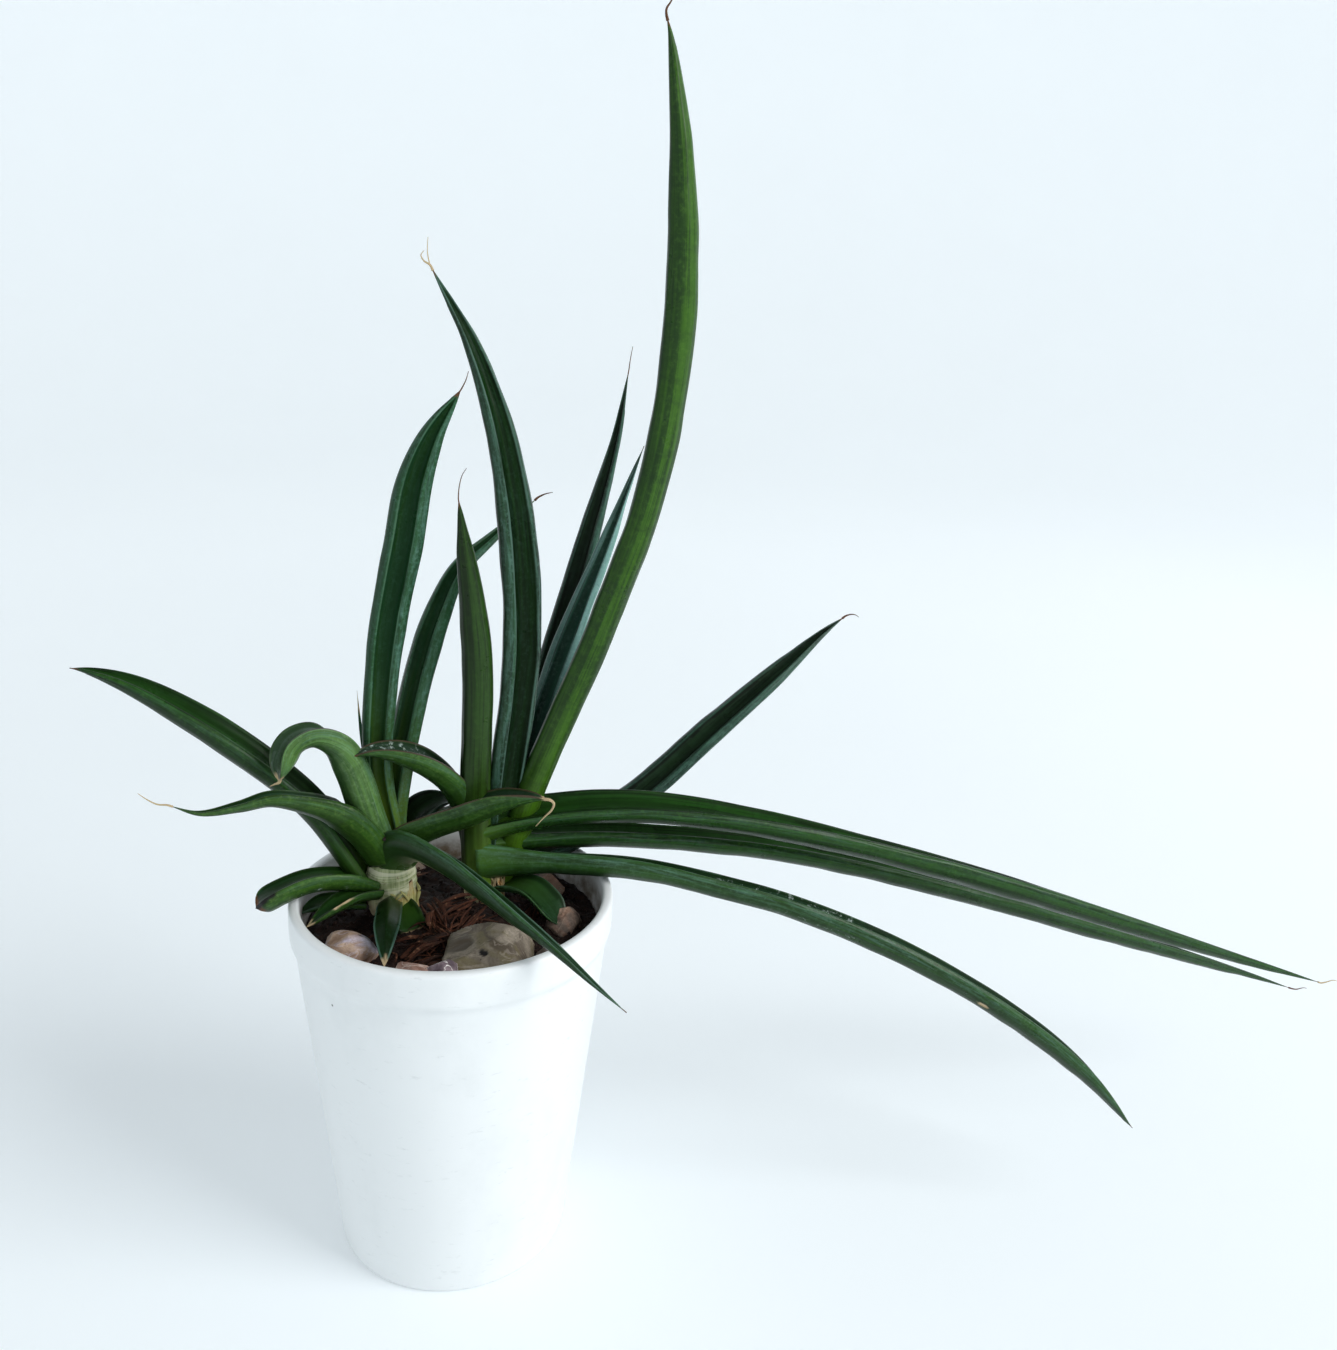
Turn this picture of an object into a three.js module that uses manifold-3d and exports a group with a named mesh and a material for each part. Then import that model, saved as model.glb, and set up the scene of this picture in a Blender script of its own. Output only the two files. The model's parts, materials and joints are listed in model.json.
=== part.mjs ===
// Potted snake plant: a white tapered pot filled with potting mix, two crowns of thick channelled
// leaves, papery sheaths at their feet, and pebbles and bark chips on the soil.
// Units are millimetres, +Z is up, and the origin is the centre of the pot's underside.

import * as THREE from 'three';
import { mergeVertices } from 'three/addons/utils/BufferGeometryUtils.js';
import Module from 'manifold-3d';

const wasm = await Module();
wasm.setup();

// ---------------------------------------------------------------- driving dimensions

const POT_HEIGHT = 150;
const RIM_RADIUS = 61; // outside of the rolled rim band
const RIM_THICKNESS = 4; // from the outside of the band to the mouth
const BASE_RADIUS = 46;
const POT_WALL = 3.2;
const POT_FLOOR = 5;
const BAND_HEIGHT = 15; // the thicker band below the lip
const BAND_STEP = 1.8; // how far the band stands proud of the body

const SOIL_DROP = 15; // from the lip down to the soil at the wall
const SOIL_MOUND = 4; // extra height of the soil in the middle

const CROWN_DEPTH = 14; // how deep a crown is planted
const CROWN_LEFT = { x: -24, y: 10, radius: 9.5, height: 22 };
const CROWN_RIGHT = { x: 12, y: 16, radius: 8.5, height: 26 };

const LEAF_GIRTH = 1; // multiplies every leaf's width and thickness
const LEAF_REACH = 1; // multiplies every leaf's length
const SHEATH_THICKNESS = 0.8;
const STONE_SIZE = 1; // multiplies every pebble

const GAP = 0.3; // clearance between neighbouring solids
const FINENESS = 0.02; // slivers narrower than this are merged away

// ---------------------------------------------------------------- worked-out levels

const SOIL_LEVEL = POT_HEIGHT - SOIL_DROP;
const MOUTH_RADIUS = RIM_RADIUS - RIM_THICKNESS;
const BAND_BOTTOM = POT_HEIGHT - BAND_HEIGHT;
const BODY_TOP_RADIUS = RIM_RADIUS - BAND_STEP;
const WALL_SLOPE = (BODY_TOP_RADIUS - BASE_RADIUS) / BAND_BOTTOM;
const innerRadius = (z) => BASE_RADIUS + WALL_SLOPE * z - POT_WALL;
const SOIL_RADIUS = innerRadius(SOIL_LEVEL);
const radians = THREE.MathUtils.degToRad;
const clamp = THREE.MathUtils.clamp;

// ---------------------------------------------------------------- colours

const material = (color, roughness) => new THREE.MeshStandardMaterial({ color, roughness, metalness: 0 });
const MATERIALS = {
  pot: material('#e9ecef', 0.45),
  soil: material('#241811', 0.95),
  leaf: material('#3f6b2c', 0.45),
  crown: material('#a3ab5a', 0.6),
  sheath: material('#cdbf94', 0.7),
  bark: material('#6b3f2a', 0.9),
  stoneOlive: material('#837a5c', 0.7),
  stonePale: material('#cdc3bc', 0.7),
  stoneBrown: material('#7a675a', 0.8),
};

// ---------------------------------------------------------------- solids

// A closed geometry as a manifold solid.
function toSolid(geometry) {
  const bare = geometry.clone();
  bare.deleteAttribute('normal');
  bare.deleteAttribute('uv');
  const merged = mergeVertices(bare, 1e-4);
  return new wasm.Manifold(new wasm.Mesh({
    numProp: 3,
    vertProperties: new Float32Array(merged.attributes.position.array),
    triVerts: new Uint32Array(merged.index.array),
  }));
}

// A manifold solid as a geometry, keeping only its largest body.
function toGeometry(solid) {
  const bodies = solid.decompose().sort((a, b) => b.volume() - a.volume());
  const mesh = bodies[0].getMesh();
  const geometry = new THREE.BufferGeometry();
  geometry.setAttribute('position', new THREE.BufferAttribute(new Float32Array(mesh.vertProperties), 3));
  geometry.setIndex(new THREE.BufferAttribute(new Uint32Array(mesh.triVerts), 1));
  geometry.computeVertexNormals();
  return geometry;
}

// Closed skin over a row of equal rings of points, ending in a point at each end.
function loft(rings, start, end) {
  const sides = rings[0].length;
  const points = [...rings.flat(), start, end];
  const first = points.length - 2;
  const last = points.length - 1;
  const index = [];
  for (let side = 0; side < sides; side += 1) {
    const next = (side + 1) % sides;
    index.push(first, next, side);
    for (let ring = 0; ring < rings.length - 1; ring += 1) {
      const low = ring * sides;
      const high = low + sides;
      index.push(low + side, low + next, high + next);
      index.push(low + side, high + next, high + side);
    }
    const top = (rings.length - 1) * sides;
    index.push(last, top + side, top + next);
  }
  const geometry = new THREE.BufferGeometry().setFromPoints(points);
  geometry.setIndex(index);
  return geometry;
}

// ---------------------------------------------------------------- leaves

// Each leaf grows from a crown. foot is its start from the crown's axis in crown radii, heading the
// way it leans in degrees round from +X, and spine its centre line as [out, up] from the foot at soil
// level. roll turns the channelled upper face about the spine. foothold is the width at the foot as a
// share of width, swellTo the share of the length where it has widened to the blade, fullTo the share
// where the taper starts, tipPower how round the taper is (1 is straight), and tail the length of the
// dry thread left at the point. meetsRim marks the leaves that reach the pot's rim or pass over it.
const LEAVES = [
  { name: 'leaf_right_tall', crown: CROWN_RIGHT, foot: [0.59, 0], heading: -5, roll: -60,
    spine: [[2, 8], [13, 48], [37, 111], [55, 168], [62, 225], [60, 278], [54, 315], [52, 322]],
    width: 14, thickness: 9.5, foothold: 0.95, fullTo: 0.6, tipPower: 1.8, tail: 6 },
  { name: 'leaf_right_short', crown: CROWN_RIGHT, foot: [-0.47, -1.18], heading: 180, roll: 90,
    spine: [[-1, 12], [0, 54], [-1, 98], [1, 125], [4, 148], [6, 164]],
    width: 11.5, thickness: 6.5, foothold: 0.95, fullTo: 0.5, tipPower: 2.1, tail: 9 },
  { name: 'leaf_right_striped', crown: CROWN_RIGHT, foot: [0.71, -0.35], heading: 165, roll: -45,
    spine: [[3, 10], [-1, 50], [-7, 107], [-5, 149], [2, 188], [12, 216], [26, 241]],
    width: 16, thickness: 9, foothold: 0.7, fullTo: 0.4, tipPower: 1.5, tail: 9 },
  { name: 'leaf_right_pale', crown: CROWN_RIGHT, foot: [0.71, 0.35], heading: 25, roll: 40,
    spine: [[2, 12], [11, 54], [29, 105], [46, 144], [57, 171], [61, 180]],
    width: 11, thickness: 5, foothold: 0.8, fullTo: 0.5, tipPower: 1.4, tail: 0 },
  { name: 'leaf_right_dark', crown: CROWN_RIGHT, foot: [0.71, 0.59], heading: 45, roll: 0,
    spine: [[2, 10], [12, 45], [34, 99], [52, 142], [67, 179], [74, 207]],
    width: 13.5, thickness: 7, foothold: 0.8, fullTo: 0.45, tipPower: 1.2, tail: 9 },
  { name: 'leaf_right_bent', crown: CROWN_RIGHT, foot: [-0.47, -0.47], heading: 195, roll: -25,
    spine: [[1, 16], [2, 34], [8, 52], [17, 62], [27, 68], [38, 71], [47, 70]],
    width: 15, thickness: 9, foothold: 0.8, fullTo: 0.6, tipPower: 1.8, tail: 0 },
  { name: 'leaf_right_long_upper', crown: CROWN_RIGHT, foot: [0.24, -0.24], heading: -1, roll: 22,
    spine: [[2, 22], [12, 35], [35, 40], [62, 40], [105, 33], [153, 21], [213, 3], [269, -16],
      [330, -37], [389, -56]],
    width: 15, thickness: 9, foothold: 1, fullTo: 0.5, tipPower: 1.5, tail: 9, meetsRim: true },
  { name: 'leaf_right_long_lower', crown: CROWN_RIGHT, foot: [0.24, 0.24], heading: 4, roll: 12,
    spine: [[3, 14], [16, 22], [45, 24], [96, 18], [133, 10], [212, -14], [302, -46], [391, -78],
      [412, -86]],
    width: 14, thickness: 8, foothold: 0.9, fullTo: 0.6, tipPower: 1.5, tail: 8, meetsRim: true },
  { name: 'leaf_right_sweeping', crown: CROWN_RIGHT, foot: [0.24, -0.71], heading: -9, roll: 15,
    spine: [[2, 11], [8, 18], [30, 20], [59, 19], [95, 12], [124, 4], [166, -13], [211, -38],
      [249, -66], [277, -95]],
    width: 13, thickness: 8, foothold: 1.25, fullTo: 0.75, tipPower: 1.7, tail: 0, meetsRim: true },
  { name: 'leaf_right_back', crown: CROWN_RIGHT, foot: [0.24, 0.47], heading: 22, roll: 20,
    spine: [[2, 10], [14, 12], [32, 17], [68, 31], [109, 58], [141, 79], [163, 94], [176, 101]],
    width: 12.5, thickness: 6, foothold: 0.8, fullTo: 0.5, tipPower: 1.4, tail: 7 },
  { name: 'leaf_right_broken', crown: CROWN_RIGHT, foot: [0.47, -0.59], heading: -42, roll: 0,
    spine: [[1, 9], [9, 13], [18, 14], [26, 10], [33, 3]],
    width: 14, thickness: 4, foothold: 0.7, fullTo: 0.7, tipPower: 2.4, tail: 0 },

  { name: 'leaf_left_upright', crown: CROWN_LEFT, foot: [0, 0.21], heading: 0, roll: 90,
    spine: [[3, 14], [0, 35], [-4, 60], [-2, 95], [1, 118], [7, 148], [11, 169], [17, 185], [27, 201]],
    width: 13.5, thickness: 6.5, foothold: 0.45, swellTo: 0.65, fullTo: 0.7, tipPower: 1.7, tail: 5 },
  { name: 'leaf_left_leaning', crown: CROWN_LEFT, foot: [0.11, 0.53], heading: 40, roll: 15,
    spine: [[0, 12], [1, 45], [5, 65], [14, 96], [22, 115], [33, 132], [49, 142], [74, 156]],
    width: 13, thickness: 6, foothold: 0.5, fullTo: 0.55, tipPower: 1.2, tail: 0 },
  { name: 'leaf_left_spike', crown: CROWN_LEFT, foot: [-0.32, 0.42], heading: 130, roll: 0,
    spine: [[0, 14], [6, 49], [12, 70], [14, 87]],
    width: 5, thickness: 3, foothold: 1, fullTo: 0.3, tipPower: 1, tail: 0 },
  { name: 'leaf_left_far', crown: CROWN_LEFT, foot: [-0.21, 0], heading: 175, roll: -18,
    spine: [[6, 10], [16, 28], [28, 46], [40, 58], [63, 76], [89, 92], [103, 97], [109, 98]],
    width: 15, thickness: 9, foothold: 0.9, fullTo: 0.55, tipPower: 2.2, tail: 0, meetsRim: true },
  { name: 'leaf_left_folded', crown: CROWN_LEFT, foot: [-0.42, -0.42], heading: 195, roll: -25,
    spine: [[0, 16], [5, 42], [10, 62], [15, 73], [22, 78], [29, 76], [33, 69], [35, 62]],
    width: 13, thickness: 8, foothold: 1, fullTo: 0.85, tipPower: 2, tail: 0, meetsRim: true },
  { name: 'leaf_left_curled', crown: CROWN_LEFT, foot: [-0.42, -0.21], heading: 200, roll: -25,
    spine: [[2, 16], [7, 34], [17, 47], [29, 53], [39, 56], [50, 55], [63, 55], [73, 60]],
    width: 19, thickness: 10, foothold: 0.9, fullTo: 0.3, tipPower: 0.75, tail: 10, meetsRim: true },
  { name: 'leaf_left_dry_edged', crown: CROWN_LEFT, foot: [0.63, -0.21], heading: -20, roll: 20,
    spine: [[-2, 16], [3, 33], [12, 40], [24, 46], [38, 53], [50, 56], [56, 56]],
    width: 15, thickness: 9.5, foothold: 0.9, fullTo: 0.55, tipPower: 1.6, tail: 0 },
  { name: 'leaf_left_lobe', crown: CROWN_LEFT, foot: [0.63, 0.53], heading: 18, roll: 20,
    spine: [[-2, 18], [0, 32], [6, 40], [13, 43], [19, 42]],
    width: 10, thickness: 4, foothold: 1, fullTo: 0.6, tipPower: 2, tail: 0 },
  { name: 'leaf_left_over_rim', crown: CROWN_LEFT, foot: [0.21, -0.53], heading: -50, roll: 5,
    spine: [[-3, 21], [4, 31], [13, 34], [32, 34], [49, 31], [68, 27], [85, 23], [103, 18], [119, 14]],
    width: 14, thickness: 7.5, foothold: 1, fullTo: 0.1, tipPower: 1.15, tail: 0, meetsRim: true },
  { name: 'leaf_left_blunt', crown: CROWN_LEFT, foot: [-0.42, -0.42], heading: 200, roll: -20,
    spine: [[3, 14], [13, 19], [26, 21], [36, 19], [46, 15]],
    width: 14, thickness: 7.5, foothold: 0.8, fullTo: 0.75, tipPower: 2.4, tail: 0, meetsRim: true },
  { name: 'leaf_left_low', crown: CROWN_LEFT, foot: [-0.32, -0.63], heading: 218, roll: -20,
    spine: [[3, 13], [12, 15], [20, 14], [27, 12], [33, 10]],
    width: 10, thickness: 4.5, foothold: 1, fullTo: 0.5, tipPower: 1.4, tail: 0, meetsRim: true },
  { name: 'leaf_left_under', crown: CROWN_LEFT, foot: [-0.42, -0.21], heading: 190, roll: -10,
    spine: [[6, 6], [15, 8], [23, 8], [31, 5]],
    width: 8, thickness: 4, foothold: 0.8, fullTo: 0.6, tipPower: 1.6, tail: 0, meetsRim: true },
  { name: 'leaf_left_drooping', crown: CROWN_LEFT, foot: [0, -1.05], heading: 270, roll: 0,
    spine: [[-2, 12], [8, 15], [20, 17], [32, 18], [43, 17]],
    width: 13, thickness: 6, foothold: 0.9, fullTo: 0.55, tipPower: 1.7, tail: 0, meetsRim: true },
  { name: 'leaf_left_stub', crown: CROWN_LEFT, foot: [0.53, -0.95], heading: -62, roll: 0,
    spine: [[-1, 11], [5, 9], [11, 4]],
    width: 10.5, thickness: 4.5, foothold: 0.9, fullTo: 0.8, tipPower: 3, tail: 0 },
];

const SWELL_TO = 0.3; // swellTo of the leaves that don't state one
const CHANNEL = 0.3; // depth of the channel, as a share of the thickness
const BACK_STEPS = 6; // flats round the back of a leaf
const LEAF_STATIONS = 11;
const STATION_CROWDING = 1.25; // above 1 the stations crowd towards the foot
const LAST_STATION = 0.975; // share of the length where the blade ends and the point starts
const THINNEST = 0.12; // the blade never gets narrower than this share of its width
const TAIL_RADIUS = 0.5;

// Leaves that meet the rim are drawn for this rim and soil, and follow both when they change.
const DRAWN_RIM_RADIUS = 61;
const DRAWN_SOIL_DROP = 15;
const CLEAR_OF_CROWN = 30; // distance out where such a leaf has left its crown

// Outline of a leaf across its spine: a round back and a shallow channel on the upper face.
function leafSection(width, thickness) {
  const half = width / 2;
  const outline = [];
  for (let step = 0; step <= BACK_STEPS; step += 1) {
    const angle = (Math.PI * step) / BACK_STEPS;
    outline.push([-half * Math.cos(angle), -thickness * Math.sin(angle) + thickness / 2]);
  }
  for (const share of [0.5, 0, -0.5]) {
    outline.push([half * share, -thickness * CHANNEL * (1 - 1.2 * share * share) + thickness / 2]);
  }
  return outline;
}

function leafSpine(leaf) {
  const heading = radians(leaf.heading);
  const { crown, foot, spine } = leaf;
  const start = new THREE.Vector2(crown.x + foot[0] * crown.radius, crown.y + foot[1] * crown.radius);
  const stretch = leaf.meetsRim ? RIM_RADIUS / DRAWN_RIM_RADIUS : 1;
  const lift = leaf.meetsRim ? SOIL_DROP - DRAWN_SOIL_DROP : 0;
  const points = spine.map(([out, up]) => {
    const reach = out * LEAF_REACH * stretch;
    const height = up * LEAF_REACH + lift * clamp(out / CLEAR_OF_CROWN, 0, 1);
    return new THREE.Vector3(
      start.x + reach * Math.cos(heading), start.y + reach * Math.sin(heading), SOIL_LEVEL + height,
    );
  });
  return new THREE.CatmullRomCurve3(points, false, 'centripetal');
}

function widthShare(leaf, along) {
  const settled = clamp(along / (leaf.swellTo ?? SWELL_TO), 0, 1);
  const swell = leaf.foothold + (1 - leaf.foothold) * Math.sin((Math.PI / 2) * settled);
  const past = clamp((along - leaf.fullTo) / (1 - leaf.fullTo), 0, 1);
  return swell * (1 - past ** leaf.tipPower);
}

function leafSolid(leaf, grow) {
  const curve = leafSpine(leaf);
  const heading = radians(leaf.heading);
  const side = new THREE.Vector3(-Math.sin(heading), Math.cos(heading), 0);
  const rings = [];
  const addRing = (along, width, thickness) => {
    const centre = curve.getPointAt(along);
    const tangent = curve.getTangentAt(along);
    const roll = radians(leaf.roll);
    const across = side.clone().applyAxisAngle(tangent, roll);
    const face = tangent.clone().cross(side).applyAxisAngle(tangent, roll);
    rings.push(leafSection(width, thickness).map(([x, y]) => centre.clone()
      .addScaledVector(across, x).addScaledVector(face, y)));
  };
  for (let station = 0; station < LEAF_STATIONS; station += 1) {
    const along = LAST_STATION * (station / (LEAF_STATIONS - 1)) ** STATION_CROWDING;
    const share = Math.max(widthShare(leaf, along), THINNEST) * LEAF_GIRTH;
    addRing(along, leaf.width * share + 2 * grow, leaf.thickness * share + 2 * grow);
  }
  const start = curve.getPointAt(0).addScaledVector(curve.getTangentAt(0), -grow);
  const endTangent = curve.getTangentAt(1);
  const tip = curve.getPointAt(1);
  if (leaf.tail > 0) {
    const width = 2 * (TAIL_RADIUS + grow);
    addRing(1, width, width);
    tip.addScaledVector(endTangent, leaf.tail);
  }
  return toSolid(loft(rings, start, tip.addScaledVector(endTangent, grow)));
}

// ---------------------------------------------------------------- crowns and sheaths

// A profile of [radius, height] pairs turned about +Z.
function turned(profile, segments) {
  const points = profile.map(([radius, height]) => new THREE.Vector2(radius, height));
  return new THREE.LatheGeometry(points, segments).rotateX(Math.PI / 2);
}

function crownSolid(crown, grow) {
  const radius = crown.radius + grow;
  const top = SOIL_LEVEL + crown.height + grow;
  const bottom = SOIL_LEVEL - CROWN_DEPTH - grow;
  const profile = [
    [0, bottom], [radius * 0.7, bottom + 1], [radius * 0.95, bottom + 4], [radius, SOIL_LEVEL + 4],
    [radius * 0.86, top - 6], [radius * 0.6, top - 1.5], [0, top],
  ];
  return toSolid(turned(profile, 20).translate(crown.x, crown.y, 0));
}

// Dry sheaths are short curved sheets that stand against a crown, from one azimuth to another.
const SHEATHS = [
  { name: 'sheath_left', crown: CROWN_LEFT, from: 275, to: 355, bottom: 1, top: 16, standoff: 0.6 },
  { name: 'sheath_right', crown: CROWN_RIGHT, from: 255, to: 292, bottom: 3, top: 30, standoff: 0.6 },
  { name: 'sheath_right_strip', crown: CROWN_RIGHT, from: 296, to: 322, bottom: 2, top: 15, standoff: 1 },
];

function sheathSolid(sheath, grow) {
  const inner = sheath.crown.radius + sheath.standoff - grow;
  const outer = inner + SHEATH_THICKNESS + 2 * grow;
  const margin = grow / outer;
  const from = radians(sheath.from) - margin;
  const to = radians(sheath.to) + margin;
  const outline = new THREE.Shape();
  outline.absarc(0, 0, outer, from, to, false);
  outline.absarc(0, 0, inner, to, from, true);
  outline.closePath();
  const depth = sheath.top - sheath.bottom + 2 * grow;
  const geometry = new THREE.ExtrudeGeometry(outline, { depth, bevelEnabled: false, curveSegments: 5 });
  geometry.translate(sheath.crown.x, sheath.crown.y, SOIL_LEVEL + sheath.bottom - grow);
  return toSolid(geometry);
}

// ---------------------------------------------------------------- pot and potting mix

const POT_SEGMENTS = 48;
const LIP_RADIUS = 1.6;
const FOOT_ROUNDING = 1.3; // the rounded corner round the underside
const BAND_ROUNDING = 0.7; // the rounded lower corner of the band

function potSolid(grow) {
  const lipMiddle = (RIM_RADIUS + MOUTH_RADIUS) / 2;
  const outside = RIM_RADIUS + grow;
  const mouth = MOUTH_RADIUS - grow;
  const top = POT_HEIGHT + grow;
  const profile = [
    [0, -grow], [BASE_RADIUS - FOOT_ROUNDING, -grow], [BASE_RADIUS + grow, FOOT_ROUNDING],
    [BODY_TOP_RADIUS + grow, BAND_BOTTOM], [outside - BAND_ROUNDING, BAND_BOTTOM + BAND_STEP],
    [outside, BAND_BOTTOM + BAND_HEIGHT / 3], [outside, top - LIP_RADIUS * 1.5],
    [outside - LIP_RADIUS / 3, top - LIP_RADIUS / 2], [lipMiddle, top],
    [mouth + LIP_RADIUS / 3, top - LIP_RADIUS / 2], [mouth, top - LIP_RADIUS],
    [innerRadius(BAND_BOTTOM) - grow, BAND_BOTTOM],
    [innerRadius(POT_FLOOR) - grow, POT_FLOOR + grow], [0, POT_FLOOR + grow],
  ];
  return toSolid(turned(profile, POT_SEGMENTS));
}

// Uneven ground: two slow waves and two quick ones.
const unevenness = (x, y) => 0.8 * Math.sin(x / 9 + 1) * Math.cos(y / 8)
  + 0.5 * Math.sin(x / 4.1) * Math.sin(y / 3.7 + 2);

const OVERSIZE = 1;
const CALM_EDGE = 6; // the ground levels out over this distance from the wall

// Height of the ground: a low mound with its unevenness, level at the wall.
function groundHeight(x, y) {
  const edge = SOIL_RADIUS + OVERSIZE;
  const fromAxis = Math.min(Math.hypot(x, y), edge);
  const mound = SOIL_MOUND * Math.cos((Math.PI / 2) * (fromAxis / edge));
  return SOIL_LEVEL + mound + unevenness(x, y) * clamp((edge - fromAxis) / CALM_EDGE, 0, 1);
}

// The mix is made a little too big for the pot, which then cuts it back to the clearance.
function soilSolid() {
  const wall = SOIL_RADIUS + OVERSIZE;
  const floor = innerRadius(POT_FLOOR) + OVERSIZE;
  const bottom = POT_FLOOR - OVERSIZE;
  const profile = [[0, bottom], [floor, bottom], [wall, SOIL_LEVEL]];
  for (const share of [0.86, 0.7, 0.52, 0.34, 0.17, 0]) {
    profile.push([wall * share, SOIL_LEVEL]);
  }
  const geometry = turned(profile, 40);
  const place = geometry.attributes.position;
  for (let i = 0; i < place.count; i += 1) {
    if (place.getZ(i) >= SOIL_LEVEL) {
      place.setZ(i, groundHeight(place.getX(i), place.getY(i)));
    }
  }
  return toSolid(geometry);
}

// ---------------------------------------------------------------- pebbles and bark

// wallGap is the room between the pebble and the pot wall, azimuth its direction from the pot's
// axis, size its length along the wall, its depth and its height, and rise the height of its middle
// above the soil at the wall.
const STONES = [
  { name: 'stone_olive', azimuth: 290, size: [38, 32, 22], rise: 2, wallGap: 1.2, finish: 'stoneOlive' },
  { name: 'stone_veined', azimuth: 265, size: [16, 15, 16], rise: 5, wallGap: 1.2, finish: 'stonePale' },
  { name: 'stone_pink', azimuth: 246, size: [15, 11, 10], rise: 4, wallGap: 1.2, finish: 'stonePale' },
  { name: 'stone_beige', azimuth: 212, size: [24, 16, 15], rise: 3, wallGap: 1.2, finish: 'stonePale' },
  { name: 'stone_streaked', azimuth: 317, size: [16, 13, 13], rise: 2, wallGap: 1.2, finish: 'stonePale' },
  { name: 'stone_knobbly', azimuth: 352, size: [20, 15, 15], rise: 1, wallGap: 6, finish: 'stoneBrown' },
  { name: 'stone_back_left', azimuth: 140, size: [22, 16, 14], rise: 1, wallGap: 2, finish: 'stoneOlive' },
  { name: 'stone_back', azimuth: 115, size: [18, 14, 12], rise: 0, wallGap: 3, finish: 'stonePale' },
  { name: 'stone_back_right', azimuth: 38, size: [24, 17, 15], rise: 0, wallGap: 2, finish: 'stoneBrown' },
];

function stoneSolid(stone, grow) {
  const index = STONES.indexOf(stone);
  const [along, deep, tall] = stone.size.map((side) => (side * STONE_SIZE) / 2 + grow);
  const geometry = new THREE.IcosahedronGeometry(1, 1);
  const place = geometry.attributes.position;
  const point = new THREE.Vector3();
  for (let i = 0; i < place.count; i += 1) {
    point.fromBufferAttribute(place, i);
    const lump = Math.sin(2.3 * point.x + index) * Math.sin(2.1 * point.y + 2 * index)
      + 0.6 * Math.sin(3.1 * point.z + 3 * index);
    point.multiplyScalar(0.93 + 0.06 * lump);
    place.setXYZ(i, point.x * deep, point.y * along, point.z * tall);
  }
  const level = SOIL_LEVEL + stone.rise;
  const reach = innerRadius(Math.min(level, BAND_BOTTOM)) - stone.wallGap - (stone.size[1] * STONE_SIZE) / 2;
  return toSolid(geometry.rotateZ(radians(stone.azimuth)).translate(
    reach * Math.cos(radians(stone.azimuth)), reach * Math.sin(radians(stone.azimuth)), level,
  ));
}

// Bark chips lie on the soil inside the ring of pebbles: at is the middle as [x, y] in shares of that
// ring's inner radius, turn its direction, tilt its slope, and size its length, width and thickness.
// Each one is bent up a little in the middle.
const BARK = [
  { name: 'bark_1', at: [-0.17, -0.25], turn: 100, tilt: 14, size: [17, 5, 2.4] },
  { name: 'bark_2', at: [0.03, 0], turn: 20, tilt: 8, size: [16, 6, 2.6] },
  { name: 'bark_3', at: [0.08, -0.33], turn: 55, tilt: 10, size: [18, 5, 2.2] },
  { name: 'bark_4', at: [-0.33, -0.7], turn: 30, tilt: 6, size: [16, 6, 2.4] },
  { name: 'bark_5', at: [-0.06, -0.56], turn: 140, tilt: 12, size: [15, 5, 2.2] },
  { name: 'bark_6', at: [-0.28, -1.06], turn: 15, tilt: 4, size: [14, 5, 2.2] },
  { name: 'bark_7', at: [0.84, 0], turn: 70, tilt: 8, size: [15, 6, 2.4] },
  { name: 'bark_8', at: [-0.61, 0.75], turn: 35, tilt: 5, size: [16, 7, 2.6] },
];
const STONE_RING = 20; // depth of the ring of pebbles along the wall, before STONE_SIZE
const BARK_REACH = SOIL_RADIUS - STONE_RING * STONE_SIZE;
const BARK_LIFT = 1; // middle of a chip above the ground under it
const BARK_BEND = 1.6;

function barkSolid(chip, grow) {
  const [length, width, thick] = chip.size;
  const half = length / 2 + grow;
  const bend = new THREE.CatmullRomCurve3([
    new THREE.Vector3(-half, 0, 0), new THREE.Vector3(0, 0, BARK_BEND), new THREE.Vector3(half, 0, 0),
  ]);
  const outline = new THREE.Shape();
  outline.absellipse(0, 0, width / 2 + grow, thick / 2 + grow, 0, Math.PI * 2, false, 0);
  const geometry = new THREE.ExtrudeGeometry(outline, { extrudePath: bend, steps: 4, curveSegments: 4 });
  geometry.rotateY(radians(-chip.tilt)).rotateZ(radians(chip.turn));
  const [x, y] = chip.at.map((share) => share * BARK_REACH);
  return toSolid(geometry.translate(x, y, groundHeight(x, y) + BARK_LIFT));
}

// ---------------------------------------------------------------- assembly

// Pieces are listed with the ones that keep their whole shape first. Each later one is cut back to
// leave the clearance around those before it, and the potting mix comes last and fits them all.
const PIECES = [
  { name: 'pot', finish: 'pot', solid: potSolid },
  { name: 'crown_left', finish: 'crown', solid: (grow) => crownSolid(CROWN_LEFT, grow) },
  { name: 'crown_right', finish: 'crown', solid: (grow) => crownSolid(CROWN_RIGHT, grow) },
  ...LEAVES.map((leaf) => ({ name: leaf.name, finish: 'leaf', solid: (grow) => leafSolid(leaf, grow) })),
  ...SHEATHS.map((sheath) => ({
    name: sheath.name, finish: 'sheath', solid: (grow) => sheathSolid(sheath, grow),
  })),
  ...STONES.map((stone) => ({
    name: stone.name, finish: stone.finish, solid: (grow) => stoneSolid(stone, grow),
  })),
  ...BARK.map((chip) => ({ name: chip.name, finish: 'bark', solid: (grow) => barkSolid(chip, grow) })),
  { name: 'potting_mix', finish: 'soil', solid: soilSolid },
];

const group = new THREE.Group();
const cleared = [];
for (const { name, finish, solid } of PIECES) {
  let body = solid(0);
  for (const room of cleared) {
    body = body.subtract(room);
  }
  const mesh = new THREE.Mesh(toGeometry(body.simplify(FINENESS)), MATERIALS[finish]);
  mesh.name = name;
  group.add(mesh);
  cleared.push(solid(GAP));
}

export default group;
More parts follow.
